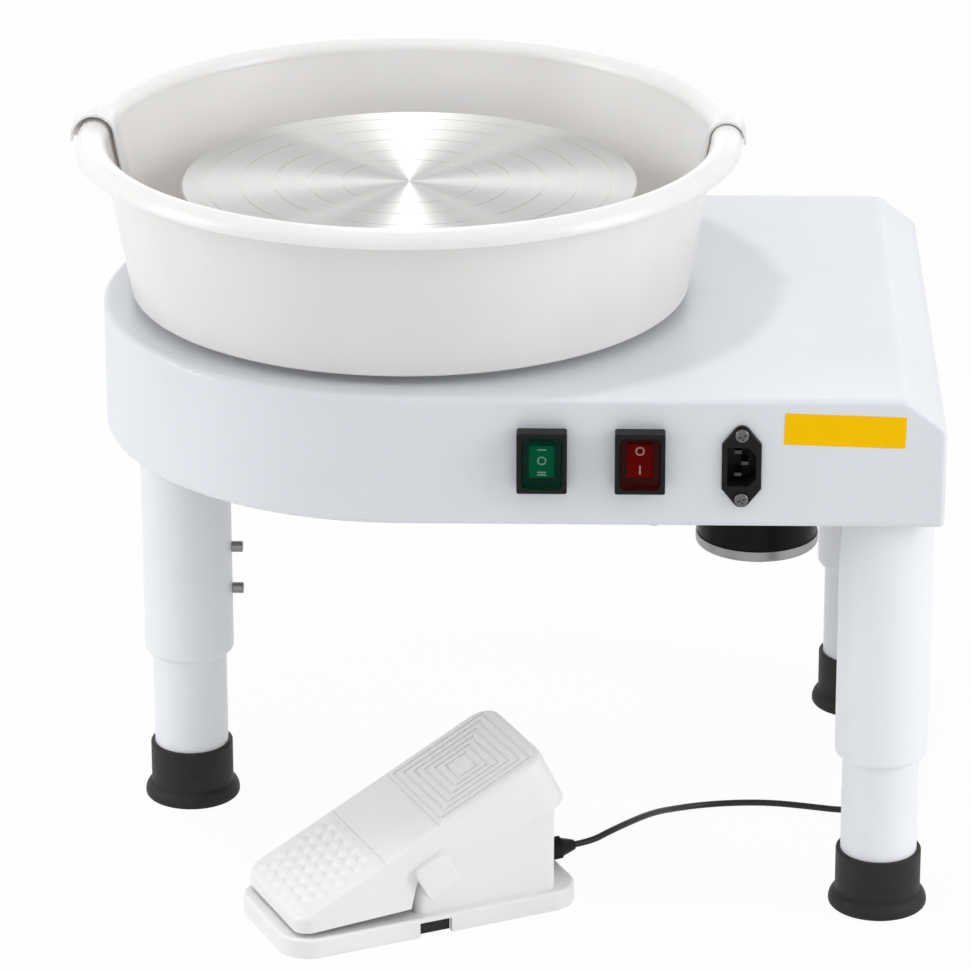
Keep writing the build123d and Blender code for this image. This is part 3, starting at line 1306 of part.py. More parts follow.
def treadle_reach():
    """Distance from the pivot up to the inside of the treadle."""
    return (treadle_height(PIVOT_X) - PIVOT_Z) * cos(radians(TREADLE_SLOPE)) - TREADLE_SHEET


def speed_sector():
    """Toothed sector on an arm, with a foot flat against the inside of the treadle."""
    radius = sector_radius()
    inner = radius - TOOTH_DEDENDUM - SECTOR_RIM
    pitch = 360 / SECTOR_TEETH
    angles = [MESH_ANGLE + i * pitch for i in range(SECTOR_FIRST, SECTOR_LAST + 1)]
    ends = (angles[0] - pitch / 2, (angles[0] + angles[-1]) / 2, angles[-1] + pitch / 2)
    wedge = [(0, 0)] + [(2 * radius * cos(radians(a)), 2 * radius * sin(radians(a))) for a in ends]
    arc = (gear(radius, angles) - Circle(inner)) & make_face(Polyline(*wedge, close=True))
    reach = treadle_reach()
    turn = Rot(0, 0, TREADLE_SLOPE)
    arm = turn * Pos(SECTOR_ARM_X, (reach - SECTOR_ARM_DROP) / 2) * Rectangle(
        SECTOR_RIM, reach + SECTOR_ARM_DROP)
    foot = turn * Pos(SECTOR_ARM_X, reach - TREADLE_SHEET / 2) * Rectangle(3 * SECTOR_RIM, TREADLE_SHEET)
    high = SECTOR_Y + SECTOR_SHEET
    return across(arc + arm, SECTOR_Y, high) + across(foot, SECTOR_Y - SECTOR_SHEET, high + SECTOR_SHEET)


def mesh_centre():
    """Centre of the pinion."""
    reach = sector_radius() + pinion_radius()
    return Pos(reach * cos(radians(MESH_ANGLE)), reach * sin(radians(MESH_ANGLE)))


def sender_front():
    return SECTOR_Y + SECTOR_SHEET + 4 * RUN_GAP


def pot_pinion():
    """Pinion on the shaft of the speed sender."""
    pitch = 360 / PINION_TEETH
    first = MESH_ANGLE + 180 + pitch / 2
    face = gear(pinion_radius(), [first + i * pitch for i in range(PINION_TEETH)])
    wheel = across(mesh_centre() * face, SECTOR_Y - RUN_GAP, SECTOR_Y + SECTOR_SHEET + RUN_GAP)
    shaft = mesh_centre() * Circle(PINION_SHAFT / 2)
    return wheel + across(shaft, SECTOR_Y, sender_front() + SENDER_LENGTH)


def speed_sender():
    """Round sender on a bent bracket that stands on the base."""
    front = sender_front()
    plate = front + SENDER_SHEET
    can = mesh_centre() * Circle(SENDER_DIAMETER / 2)
    sender = across(can, front, plate + SENDER_LENGTH)
    middle = mesh_centre().position
    drop = PIVOT_Z + middle.Y - PEDAL_BASE_HEIGHT
    strip = Pos(middle.X, middle.Y - drop / 2) * Rectangle(SENDER_DIAMETER, drop)
    foot = Pos(middle.X, middle.Y - drop + SENDER_SHEET / 2) * Rectangle(SENDER_DIAMETER, SENDER_SHEET)
    sender += across(strip, front, plate)
    sender += across(foot, front, plate + SENDER_FOOT)
    bore = mesh_centre() * Circle(PINION_SHAFT / 2 + PIN_GAP)
    return sender - across(bore, front, front + SENDER_LENGTH + PIN_GAP)


# Cord and its glands
def gland_neck():
    return GLAND_DIAMETER / 3


def gland_length():
    return GLAND_FLANGE + GLAND_NUT_LENGTH + GLAND_CONE_LENGTH


def cord_gland(wall):
    """Gland on +Z with its neck through a wall below Z = 0; the cord leaves from its tip."""
    nut_top = GLAND_FLANGE + GLAND_NUT_LENGTH
    gland = rod(gland_neck(), -2 * wall, 0)
    gland += rod(GLAND_DIAMETER / 2, 0, GLAND_FLANGE)
    gland += extrude(Pos(0, 0, GLAND_FLANGE) * RegularPolygon(GLAND_DIAMETER / 2, 6), GLAND_NUT_LENGTH)
    cone = Cone(0.4 * GLAND_DIAMETER, CORD_DIAMETER / 2 + GLAND_CONE_WALL, GLAND_CONE_LENGTH)
    return gland + Pos(0, 0, nut_top + GLAND_CONE_LENGTH / 2) * cone


def pedal_gland_place():
    return PEDAL_PLACE * Pos(HOUSING_BACK, PEDAL_GLAND_Y, PEDAL_GLAND_Z) * Rot(0, 90, 0)


def table_gland_place():
    return Pos(TABLE_GLAND_X, TABLE_GLAND_Y, BODY_LOW) * Rot(180, 0, 0)


def cord_points():
    """Corner points of the cord, with a straight lead out of each gland."""
    points = []
    for lead in (0, CORD_LEAD):
        points.append((pedal_gland_place() * Pos(0, 0, gland_length() + lead)).position)
    points += [Vector(*p) for p in CORD_ROUTE]
    axis = Vector(TABLE_GLAND_X, TABLE_GLAND_Y, 0)
    points += [axis + Vector(*p) for p in CORD_RISE]
    top = BODY_LOW - gland_length() - CORD_LEAD
    points += [axis + Vector(x, y, share * top) for x, y, share in CORD_CLIMB]
    for lead in (CORD_LEAD, 0):
        points.append((table_gland_place() * Pos(0, 0, gland_length() + lead)).position)
    return points


def pedal_cord():
    """Round cord of straight runs joined by the largest arcs that fit."""
    points = cord_points()
    radii = []
    for a, b, c in zip(points, points[1:], points[2:]):
        turn = radians((b - a).get_angle(c - b))
        radii.append(0.45 * min((b - a).length, (c - b).length) / tan(turn / 2))
    path = FilletPolyline(*points, radius=radii)
    section = Plane(origin=path @ 0, z_dir=path % 0) * Circle(CORD_DIAMETER / 2)
    cord = sweep(section, path=path)
    print("cord length", round(path.length, 1), "smallest radius", round(min(radii), 1))
    print("cord volume", round(cord.volume), "section by length", round(section.area * path.length))
    return cord


# Every node of the model
NODES = {
    "table_shell": table_shell(),
    "bottom_cover": bottom_cover(),
    "cover_tabs": cover_tabs(),
    "cover_screws": cover_screws(),
    "leg_guide_bushes": leg_bushes(),
    "leg_clamp_screws": clamp_screws(),
    "splash_pan_front": pan_front(),
    "splash_pan_rear": pan_rear(),
    "wheel_head": wheel_head(),
    "head_grub_screw": head_grub_screw(),
    "spindle": spindle(),
    "bearing_housing": bearing_housing(),
    "housing_screws": housing_screws(),
    "bearing_circlip": bearing_circlip(),
    "bearing_outer_rings": bearing_outer_rings(),
    "bearing_inner_rings": bearing_inner_rings(),
    "bearing_balls": bearing_balls(),
    "wheel_pulley": wheel_pulley(),
    "spindle_spacer": spindle_spacer(),
    "spindle_nut": spindle_nut(),
    "drive_belt": drive_belt(),
    "motor_pulley": motor_pulley(),
    "motor_shaft": motor_shaft(),
    "motor_barrel": motor_barrel(),
    "motor_end_cap": motor_end_cap(),
    "motor_bracket": motor_bracket(),
    "motor_screws": motor_screws(),
    "control_board": control_board(),
    "board_heatsink": board_heatsink(),
    "board_standoffs": board_standoffs(),
    "direction_switch": on_panel(DIRECTION_X, SWITCH_Z, switch_frame()),
    "direction_rocker": placed_rocker(DIRECTION_X, 0),
    "direction_hood": on_panel(DIRECTION_X, SWITCH_Z, splash_hood()),
    "power_switch": on_panel(POWER_X, SWITCH_Z, switch_frame()),
    "power_rocker": placed_rocker(POWER_X, -ROCKER_TILT),
    "power_hood": on_panel(POWER_X, SWITCH_Z, splash_hood()),
    "inlet_socket": on_panel(INLET_X, INLET_Z, inlet_socket()),
    "inlet_blades": [on_panel(INLET_X, INLET_Z, blade) for blade in inlet_blades()],
    "inlet_screws": [on_panel(INLET_X, INLET_Z, screw) for screw in inlet_screws()],
    "table_gland": table_gland_place() * cord_gland(COVER_SHEET),
    "pedal_gland": pedal_gland_place() * cord_gland(HOUSING_SHEET),
    "pedal_cord": pedal_cord(),
}
for name in LEG_PLACES:
    NODES["leg_sleeve_" + name] = leg_sleeve(name)
    NODES["leg_tube_" + name] = leg_tube(name)
    NODES["leg_foot_" + name] = leg_foot(name)

PEDAL_NODES = {
    "pedal_base": pedal_base(),
    "pedal_grip_bar": grip_bar(),
    "pedal_housing": pedal_housing(),
    "pedal_screws": pedal_screws(),
    "treadle": treadle(),
    "treadle_pin": treadle_pin(),
    "speed_sector": speed_sector(),
    "speed_sender": speed_sender(),
    "pot_pinion": pot_pinion(),
}
for name, piece in PEDAL_NODES.items():
    pieces = piece if isinstance(piece, list) else [piece]
    NODES[name] = [PEDAL_PLACE * p for p in pieces]


def solids_of(piece):
    """All solids of a node as one flat list."""
    pieces = piece if isinstance(piece, list) else [piece]
    return [solid for p in pieces for solid in p.solids()]


# The origin is on the floor under the middle of everything but the cord.
SOLIDS = {name: solids_of(piece) for name, piece in NODES.items()}
RIGID = Compound([s for name, solids in SOLIDS.items() if name != "pedal_cord" for s in solids])
MIDDLE = RIGID.bounding_box().center()
SHIFT = Pos(-MIDDLE.X, -MIDDLE.Y, 0)
print("wheel axis at", round(-MIDDLE.X, 4), round(-MIDDLE.Y, 4))

os.makedirs("parts", exist_ok=True)
for name, solids in SOLIDS.items():
    moved = [SHIFT * solid for solid in solids]
    export_step(moved[0] if len(moved) == 1 else Compound(moved), os.path.join("parts", name + ".step"))
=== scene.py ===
from math import radians

import bpy
from mathutils import Matrix, Vector


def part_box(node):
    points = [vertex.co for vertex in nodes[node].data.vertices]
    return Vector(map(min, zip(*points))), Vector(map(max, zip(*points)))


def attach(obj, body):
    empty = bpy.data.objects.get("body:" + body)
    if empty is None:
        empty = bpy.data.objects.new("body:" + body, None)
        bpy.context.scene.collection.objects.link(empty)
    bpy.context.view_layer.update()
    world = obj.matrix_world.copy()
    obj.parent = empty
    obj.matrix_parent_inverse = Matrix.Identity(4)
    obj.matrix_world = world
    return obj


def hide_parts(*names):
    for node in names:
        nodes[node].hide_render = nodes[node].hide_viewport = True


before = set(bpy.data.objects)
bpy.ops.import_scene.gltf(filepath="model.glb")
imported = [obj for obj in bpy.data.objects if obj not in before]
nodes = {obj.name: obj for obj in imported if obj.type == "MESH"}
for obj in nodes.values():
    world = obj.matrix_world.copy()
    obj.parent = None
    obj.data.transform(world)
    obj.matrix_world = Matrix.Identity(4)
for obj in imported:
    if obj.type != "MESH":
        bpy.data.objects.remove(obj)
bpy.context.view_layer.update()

MM = 0.001


def middle(node):
    """Middle of a CAD node's box."""
    low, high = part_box(node)
    return (low + high) / 2


WHEEL = middle("wheel_head")
WHEEL_AXIS = Vector((WHEEL.x, WHEEL.y, 0))
PANEL_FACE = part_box("table_shell")[0].y

# Camera: place from the wheel axis and the floor in metres, turns in degrees, lens and sensor in mm
CAMERA_PLACE = Vector((0.12338, -3.10847, 1.4456))
CAMERA_PITCH = 21.65
CAMERA_YAW = 1.43
CAMERA_ROLL = -0.12
CAMERA_LENS = 198.65
CAMERA_SENSOR = 36.0
CAMERA_REACH = 100.0


def make_camera():
    data = bpy.data.cameras.new("camera")
    data.sensor_fit = "HORIZONTAL"
    data.sensor_width = CAMERA_SENSOR
    data.lens = CAMERA_LENS
    data.clip_end = CAMERA_REACH
    camera = bpy.data.objects.new("camera", data)
    bpy.context.scene.collection.objects.link(camera)
    turn = (Matrix.Rotation(radians(CAMERA_YAW), 4, "Z")
            @ Matrix.Rotation(radians(90 - CAMERA_PITCH), 4, "X")
            @ Matrix.Rotation(radians(CAMERA_ROLL), 4, "Z"))
    camera.matrix_world = Matrix.Translation(WHEEL_AXIS + CAMERA_PLACE) @ turn
    bpy.context.scene.camera = camera


# Cord of the pedal, from the pedal's gland to the table's gland, in metres from the wheel axis
CORD_DIAMETER = 0.004
CORD_ORDER = 3
CORD_ROUND_STEPS = 5
CORD_RUN_STEPS = 10
CORD_ROUTE = [
    (0.10306, -0.12082, 0.0215),
    (0.11389, -0.11565, 0.0215),
    (0.1247, -0.1056, 0.0232),
    (0.1355, -0.0910, 0.0220),
    (0.1465, -0.0725, 0.0186),
    (0.1560, -0.0535, 0.0130),
    (0.1660, -0.0365, 0.0070),
    (0.1810, -0.0230, 0.0032),
    (0.2030, -0.0166, 0.0022),
    (0.2270, -0.0160, 0.0022),
    (0.2490, -0.0206, 0.0022),
    (0.2710, -0.0264, 0.0022),
    (0.2880, -0.0260, 0.0022),
    (0.3010, -0.0160, 0.0022),
    (0.3070, 0.0000, 0.0022),
    (0.3060, 0.0180, 0.0022),
    (0.3010, 0.0350, 0.0022),
    (0.2970, 0.0520, 0.0022),
    (0.2970, 0.0700, 0.0026),
    (0.2996, 0.0860, 0.0050),
    (0.3016, 0.0980, 0.0140),
    (0.3024, 0.1046, 0.0290),
    (0.3020, 0.1072, 0.0520),
    (0.3030, 0.1076, 0.0880),
    (0.3020, 0.1066, 0.1300),
    (0.3032, 0.1072, 0.1720),
    (0.3024, 0.1068, 0.2030),
    (0.3026, 0.1070, 0.2220),
    (0.3026, 0.1070, 0.2340),
]


def make_cord():
    """Black cord of the pedal as one smooth curve; the radius of its points gives its thickness."""
    data = bpy.data.curves.new("cord", "CURVE")
    data.dimensions = "3D"
    data.bevel_depth = 1.0
    data.bevel_resolution = CORD_ROUND_STEPS
    data.resolution_u = CORD_RUN_STEPS
    data.use_fill_caps = True
    spline = data.splines.new("NURBS")
    spline.points.add(len(CORD_ROUTE) - 1)
    for point, place in zip(spline.points, CORD_ROUTE):
        point.co = (*(Vector(place) + WHEEL_AXIS), 1.0)
        point.radius = CORD_DIAMETER / 2
    spline.order_u = CORD_ORDER
    spline.use_endpoint_u = True
    cord = bpy.data.objects.new("cord", data)
    bpy.context.scene.collection.objects.link(cord)
    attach(cord, "stand")
    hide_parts("pedal_cord")
    return cord


make_camera()
cord = make_cord()


class Wire:
    """Output of a shader node; an expression on wires adds Math nodes."""

    def __init__(self, shading, socket):
        self.shading = shading
        self.socket = socket

    def math(self, operation, other):
        return self.shading.node("ShaderNodeMath", {"operation": operation}, {0: self, 1: other})

    def __add__(self, other):
        return self.math("ADD", other)

    __radd__ = __add__

    def __mul__(self, other):
        return self.math("MULTIPLY", other)

    __rmul__ = __mul__

    def __or__(self, other):
        """The larger of two masks."""
        return self.math("MAXIMUM", other)

    __ror__ = __or__


class Shading:
    """A shader tree that is built up node by node."""

    def __init__(self, tree):
        self.tree = tree

    def node(self, kind, settings=None, sockets=None, output=0):
        """New node: its settings first, then the values or links of its sockets."""
        node = self.tree.nodes.new(kind)
        for key, value in (settings or {}).items():
            setattr(node, key, value)
        for key, value in (sockets or {}).items():
            if isinstance(value, Wire):
                self.tree.links.new(value.socket, node.inputs[key])
            else:
                node.inputs[key].default_value = value
        return Wire(self, node.outputs[output]) if node.outputs else None


class Finish(Shading):
    """A material with one Principled shader: constants at the start, links by feed."""

    def __init__(self, name, **constants):
        self.material = bpy.data.materials.new(name)
        self.material.use_nodes = True
        super().__init__(self.material.node_tree)
        self.shader = self.tree.nodes["Principled BSDF"]
        for socket, value in constants.items():
            self.shader.inputs[socket.replace("_", " ")].default_value = value

    def feed(self, **links):
        """Links wires to the shader's sockets."""
        for socket, wire in links.items():
            self.tree.links.new(wire.socket, self.shader.inputs[socket.replace("_", " ")])

    def place(self, centre=(0, 0, 0), stretch=(1, 1, 1)):
        """Object coordinates from a centre, stretched along the axes."""
        spot = self.node("ShaderNodeTexCoord", output="Object")
        shift = [-c * s for c, s in zip(centre, stretch)]
        return self.node("ShaderNodeMapping", None, {
            "Vector": spot, "Location": shift, "Scale": stretch})

    def noise(self, scale, detail=2.0, rough=0.5, at=None):
        return self.node("ShaderNodeTexNoise", None, {
            "Vector": at or self.place(), "Scale": scale, "Detail": detail, "Roughness": rough})

    def rings(self, radius, scale, detail, rough=0.5):
        """Noise that changes only with the distance from an axis."""
        return self.node("ShaderNodeTexNoise", {"noise_dimensions": "1D"}, {
            "W": radius, "Scale": scale, "Detail": detail, "Roughness": rough})

    def spread(self, wire, low, high, to_low=0.0, to_high=1.0):
        """Wire's range low to high, stretched to another range and clamped."""
        return self.node("ShaderNodeMapRange", None, {
            "Value": wire, "From Min": low, "From Max": high, "To Min": to_low, "To Max": to_high})

    def blend(self, factor, first, second):
        """Colour between two colours."""
        def socket(value):
            return value if isinstance(value, Wire) else (*value, 1.0)
        return self.node("ShaderNodeMix", {"data_type": "RGBA"},
                         {0: factor, 6: socket(first), 7: socket(second)}, 2)

    def bump(self, height, depth):
        return self.node("ShaderNodeBump", None, {"Height": height, "Distance": depth})


def shade(colour, factor):
    return tuple(c * factor for c in colour)


COOL_WHITE = (0.73, 0.75, 0.785)
# The legs' white is a lighter copy of the table's paint: painted light that makes up for the shade
# under the table
LEG_WHITE_WITH_PAINTED_LIGHT = (0.825, 0.842, 0.872)
WARM_WHITE = (0.785, 0.776, 0.765)
PEDAL_WHITE = (0.86, 0.857, 0.84)
CHARCOAL = (0.021, 0.0198, 0.0188)
DUST = (0.062, 0.059, 0.056)
SWITCH_BLACK = (0.011, 0.011, 0.0108)
CORD_BLACK = (0.016, 0.016, 0.016)
BELT_BLACK = (0.012, 0.012, 0.012)
BELT_WORN = (0.035, 0.034, 0.033)
MOTOR_BLACK = (0.003, 0.003, 0.0032)
ALUMINIUM = (0.565, 0.56, 0.55)
# Lighter aluminium tone for the wheel's grooves: painted light that lifts the shade in them
GROOVE_PAINTED_LIGHT = (0.68, 0.672, 0.658)
LINES_PER_BAND = 14
GRAINS_PER_CLOUD = 9

# How light sinks into the pan's plastic; the radius is in metres for red, green and blue
MILKY = {
    "Subsurface_Weight": 0.8,
    "Subsurface_Radius": (0.007, 0.0062, 0.0055),
    "Subsurface_Scale": 1.0,
}

# Grooves of the wheel head: where the painted light that lifts their shade starts and ends below the
# face, and how far out
GROOVE_START = 0.02 * MM
GROOVE_FADE = 0.14 * MM
GROOVED_RADIUS = 130 * MM
WHEEL_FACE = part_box("wheel_head")[1].z - WHEEL.z


def powder_coat(name, colour):
    """Cool white paint baked on sheet steel: fine orange peel and a faint drift of tone."""
    f = Finish(name, Coat_Roughness=0.25, Specular_IOR_Level=0.45)
    drift = f.noise(scale=9.0, detail=3.0)
    peel = f.noise(scale=620.0, detail=1.5)
    wave = f.noise(scale=60.0)
    f.feed(
        Base_Color=f.blend(f.spread(drift, 0.35, 0.65), shade(colour, 0.965), colour),
        Roughness=0.34 + 0.10 * wave,
        Coat_Weight=0.12 + 0.1 * drift,
        Normal=f.bump(peel * 0.7 + wave * 0.6, 0.08 * MM),
    )
    return f.material


def moulded_plastic(name, colour, gloss, grain, depth, shine=0.5, **milk):
    """Injection-moulded plastic with flow marks and a fine grain."""
    f = Finish(name, Specular_IOR_Level=shine, **milk)
    flow = f.noise(scale=16.0, detail=4.0, rough=0.6, at=f.place(stretch=(1, 1, 0.35)))
    f.feed(
        Base_Color=f.blend(f.spread(flow, 0.3, 0.7), shade(colour, 0.96), colour),
        Roughness=gloss + 0.09 * flow,
        Normal=f.bump(f.noise(scale=grain), depth),
    )
    return f.material


def rubber(name, colour):
    """Charcoal rubber with a matt grain and traces of dust."""
    f = Finish(name, Specular_IOR_Level=0.2)
    dust = f.spread(f.noise(scale=45.0, detail=5.0, rough=0.65), 0.48, 0.75)
    f.feed(
        Base_Color=f.blend(dust * 0.35, colour, DUST),
        Roughness=0.52 + 0.22 * dust,
        Normal=f.bump(f.noise(scale=900.0), 0.12 * MM),
    )
    return f.material


def turned_metal(name, colour, rough, centre, lines, depth, brushing, face=None):
    """Metal turned on a lathe: fine rings round an upright axis, with light painted into the grooves
    of a face to lift their shade.
    """
    f = Finish(name, Metallic=1.0, Anisotropic=brushing, Anisotropic_Rotation=0.25)
    spot = f.place(centre)
    flat = f.node("ShaderNodeVectorMath", {"operation": "MULTIPLY"}, {0: spot, 1: (1, 1, 0)})
    radius = f.node("ShaderNodeVectorMath", {"operation": "LENGTH"}, {0: flat}, "Value")
    ring = f.rings(radius, scale=lines, detail=3.0, rough=0.7)
    band = f.rings(radius, scale=lines / LINES_PER_BAND, detail=2.0)
    tone = f.blend(ring * 0.6 + band * 0.4, shade(colour, 0.9), colour)
    # Painted light: a lighter tone in the grooves below the face, to lift the shade that falls in them
    if face:
        height = f.node("ShaderNodeSeparateXYZ", None, {0: spot}, "Z")
        start = face - GROOVE_START
        below = f.spread(height, start - GROOVE_FADE, start, to_low=1.0, to_high=0.0)
        within = f.spread(radius, GROOVED_RADIUS, GROOVED_RADIUS + MM, to_low=1.0, to_high=0.0)
        tone = f.blend(below * within, tone, GROOVE_PAINTED_LIGHT)
    f.feed(
        Base_Color=tone,
        Roughness=rough + 0.06 * band,
        Normal=f.bump(ring, depth),
    )
    return f.material


def bare_metal(name, colour, rough, scale=140.0):
    """Plated or cast metal with small changes of tone and gloss."""
    f = Finish(name, Metallic=1.0)
    cloud = f.noise(scale=scale, detail=4.0, rough=0.6)
    f.feed(
        Base_Color=f.blend(f.spread(cloud, 0.3, 0.7), shade(colour, 0.86), colour),
        Roughness=rough + 0.16 * cloud,
        Normal=f.bump(f.noise(scale=scale * GRAINS_PER_CLOUD), 0.03 * MM),
    )
    return f.material


def gloss_paint(name, colour):
    """Black stoved paint on the motor's barrel."""
    f = Finish(name, Coat_Roughness=0.08, Specular_IOR_Level=0.08)
    cloud = f.noise(scale=30.0, detail=3.0)
    f.feed(
        Base_Color=f.blend(f.spread(cloud, 0.3, 0.7), colour, shade(colour, 1.7)),
        Roughness=0.26 + 0.12 * cloud,
        Coat_Weight=0.02 + 0.03 * cloud,
        Normal=f.bump(f.noise(scale=400.0), 0.04 * MM),
    )
    return f.material


def tinted_clear(name, colour):
    """Thin clear hood with a tint, seen through."""
    f = Finish(name, Alpha=0.2, Specular_IOR_Level=0.1, Coat_Roughness=0.04)
    smear = f.noise(scale=120.0, detail=4.0)
    f.feed(
        Base_Color=f.blend(smear, shade(colour, 0.8), colour),
        Roughness=0.06 + 0.08 * smear,
        Coat_Weight=0.02 + 0.04 * smear,
        Normal=f.bump(smear, 0.04 * MM),
    )
    return f.material


def printed_board(name):
    """Green circuit board with pale tracks."""
    f = Finish(name)
    tracks = f.node("ShaderNodeTexBrick", {"offset": 0.5}, {
        "Vector": f.place(stretch=(90, 90, 90)),
        "Color1": (0.02, 0.12, 0.05, 1),
        "Color2": (0.03, 0.16, 0.07, 1),
        "Mortar": (0.20, 0.34, 0.12, 1),
        "Mortar Size": 0.03,
        "Scale": 1.0,
    })
    f.feed(Base_Color=tracks, Roughness=0.35 + 0.2 * f.noise(scale=200.0))
    return f.material


def ribbed_belt(name):
    """Black belt with a fine rib across it."""
    f = Finish(name)
    rib = f.node("ShaderNodeTexWave", {"bands_direction": "Z"}, {
        "Vector": f.place(), "Scale": 260.0, "Distortion": 0.4})
    f.feed(
        Base_Color=f.blend(f.noise(scale=80.0, detail=4.0), BELT_BLACK, BELT_WORN),
        Roughness=0.6 + 0.2 * rib,
        Normal=f.bump(rib, 0.1 * MM),
    )
    return f.material


def vinyl(name, colour):
    """Smooth vinyl or ink with a slight mottling."""
    f = Finish(name, Specular_IOR_Level=0.05)
    mottle = f.noise(scale=240.0, detail=3.0)
    f.feed(
        Base_Color=f.blend(mottle, shade(colour, 0.95), colour),
        Roughness=0.36 + 0.12 * mottle,
        Normal=f.bump(f.noise(scale=700.0), 0.02 * MM),
    )
    return f.material


FINISHES = [
    (powder_coat("table_powder_coat", COOL_WHITE), ["table_shell"]),
    # Legs: the table's paint, painted lighter against the shade that falls under the table
    (powder_coat("leg_powder_coat", LEG_WHITE_WITH_PAINTED_LIGHT), [
        "leg_sleeve_left", "leg_sleeve_front", "leg_sleeve_rear",
        "leg_tube_left", "leg_tube_front", "leg_tube_rear"]),
    (moulded_plastic("pan_plastic", WARM_WHITE, gloss=0.20, grain=700.0, depth=0.02 * MM, **MILKY), [
        "splash_pan_front", "splash_pan_rear"]),
    (moulded_plastic("pedal_plastic", PEDAL_WHITE, gloss=0.42, grain=1100.0, depth=0.08 * MM), [
        "pedal_base", "pedal_housing", "treadle"]),
    (rubber("foot_rubber", CHARCOAL), [
        "leg_foot_left", "leg_foot_front", "leg_foot_rear", "pedal_grip_bar"]),
    (turned_metal("wheel_aluminium", ALUMINIUM, rough=0.30, centre=WHEEL, lines=2600.0,
                  depth=0.01 * MM, brushing=1.0, face=WHEEL_FACE), ["wheel_head"]),
    (turned_metal("machined_steel", (0.56, 0.56, 0.58), rough=0.22, centre=WHEEL, lines=1800.0,
                  depth=0.01 * MM, brushing=0.3), [
        "spindle", "spindle_spacer", "spindle_nut",
        "bearing_inner_rings", "bearing_outer_rings", "bearing_balls"]),
    (turned_metal("motor_metal", (0.34, 0.335, 0.33), rough=0.34, centre=middle("motor_barrel"),
                  lines=900.0, depth=0.02 * MM, brushing=0.4), [
        "motor_end_cap", "motor_shaft", "motor_pulley"]),
    (bare_metal("zinc_plate", (0.60, 0.60, 0.61), rough=0.26), [
        "bottom_cover", "cover_tabs", "cover_screws", "housing_screws",
        "motor_bracket", "motor_screws", "pedal_screws", "treadle_pin"]),
    (bare_metal("dark_chrome", (0.26, 0.26, 0.27), rough=0.16), ["leg_clamp_screws"]),
    (bare_metal("inlet_chrome", (0.15, 0.15, 0.155), rough=0.14), ["inlet_screws"]),
    (bare_metal("black_oxide", (0.05, 0.05, 0.052), rough=0.34), [
        "head_grub_screw", "bearing_circlip"]),
    (bare_metal("cast_aluminium", (0.52, 0.52, 0.53), rough=0.44, scale=260.0), [
        "bearing_housing", "wheel_pulley", "board_heatsink"]),
    (bare_metal("brass", (0.62, 0.46, 0.20), rough=0.24), ["board_standoffs"]),
    # Nickel blades coloured near black: painted shade of the inlet socket's recess
    (bare_metal("nickel_blade_painted_shade", (0.075, 0.074, 0.07), rough=0.26), ["inlet_blades"]),
    (gloss_paint("motor_black", MOTOR_BLACK), ["motor_barrel"]),
    (moulded_plastic("black_plastic", SWITCH_BLACK, gloss=0.34, grain=900.0, depth=0.04 * MM,
                     shine=0.12), [
        "direction_switch", "power_switch", "inlet_socket",
        "table_gland", "pedal_gland", "speed_sender"]),
    (moulded_plastic("green_rocker", (0.001, 0.18, 0.068), gloss=0.2, grain=500.0, depth=0.02 * MM,
                     shine=0.0), ["direction_rocker"]),
    (moulded_plastic("red_rocker", (0.21, 0.001, 0.001), gloss=0.2, grain=500.0, depth=0.02 * MM,
                     shine=0.0), ["power_rocker"]),
    (moulded_plastic("nylon", (0.68, 0.66, 0.60), gloss=0.45, grain=500.0, depth=0.03 * MM), [
        "leg_guide_bushes", "speed_sector", "pot_pinion"]),
    (tinted_clear("green_hood", (0.0, 0.055, 0.026)), ["direction_hood"]),
    (tinted_clear("red_hood", (0.085, 0.0, 0.0)), ["power_hood"]),
    (printed_board("board_green"), ["control_board"]),
    (ribbed_belt("belt_rubber"), ["drive_belt"]),
]
CORD_JACKET = moulded_plastic("cord_jacket", CORD_BLACK, gloss=0.38, grain=1500.0, depth=0.03 * MM,
                              shine=0.3)
YELLOW_VINYL = vinyl("yellow_vinyl", (0.97, 0.55, 0.0))
GREEN_INK = vinyl("green_ink", (0.42, 0.72, 0.54))
RED_INK = vinyl("red_ink", (0.85, 0.68, 0.64))
SMOOTH_ANGLE = 28


def dress(piece, material):
    piece.data.materials.clear()
    piece.data.materials.append(material)


def finish_nodes():
    """Gives each CAD node its material and smooth faces between its edges."""
    for material, names in FINISHES:
        for name in names:
            dress(nodes[name], material)
            bpy.ops.object.select_all(action="DESELECT")
            nodes[name].select_set(True)
            bpy.context.view_layer.objects.active = nodes[name]
            bpy.ops.object.shade_smooth_by_angle(angle=radians(SMOOTH_ANGLE))


finish_nodes()
dress(cord, CORD_JACKET)


# Plain sticker on the front panel: its middle from the wheel axis and the floor, its turn in degrees
STICKER_X = 0.261
STICKER_Z = 0.322
STICKER_WIDTH = 0.071
STICKER_HEIGHT = 0.0195
STICKER_SHEET = 0.0002
STICKER_CORNER = 0.0006
STICKER_TURN = -1.7

# Rockers: half length, height and dish of the face from the axis, the axis from the panel, and tilts
ROCKER_HALF = 9.8 * MM
ROCKER_FACE = 7.0 * MM
ROCKER_DISH = 1.4 * MM
ROCKER_AXIS = -1.0 * MM
DIRECTION_TILT = 0.0
POWER_TILT = -9.0

# Marks printed on the rockers, with heights from the middle of the rocker's face
INK = 0.06 * MM
LINE = 0.8 * MM
BAR = 5.3 * MM
RING = 2.7 * MM
RING_SIDES = 48
CORNER_STEPS = 4
GREEN_BARS = {
    "forward_mark": 7.4 * MM,
    "reverse_mark_upper": -6.7 * MM,
    "reverse_mark_lower": -8.2 * MM,
}
STOP_HEIGHT = 0.3 * MM
OFF_HEIGHT = 5.6 * MM
ON_HEIGHT = -5.6 * MM
FACING_OUT = Matrix.Rotation(radians(90), 4, "X")


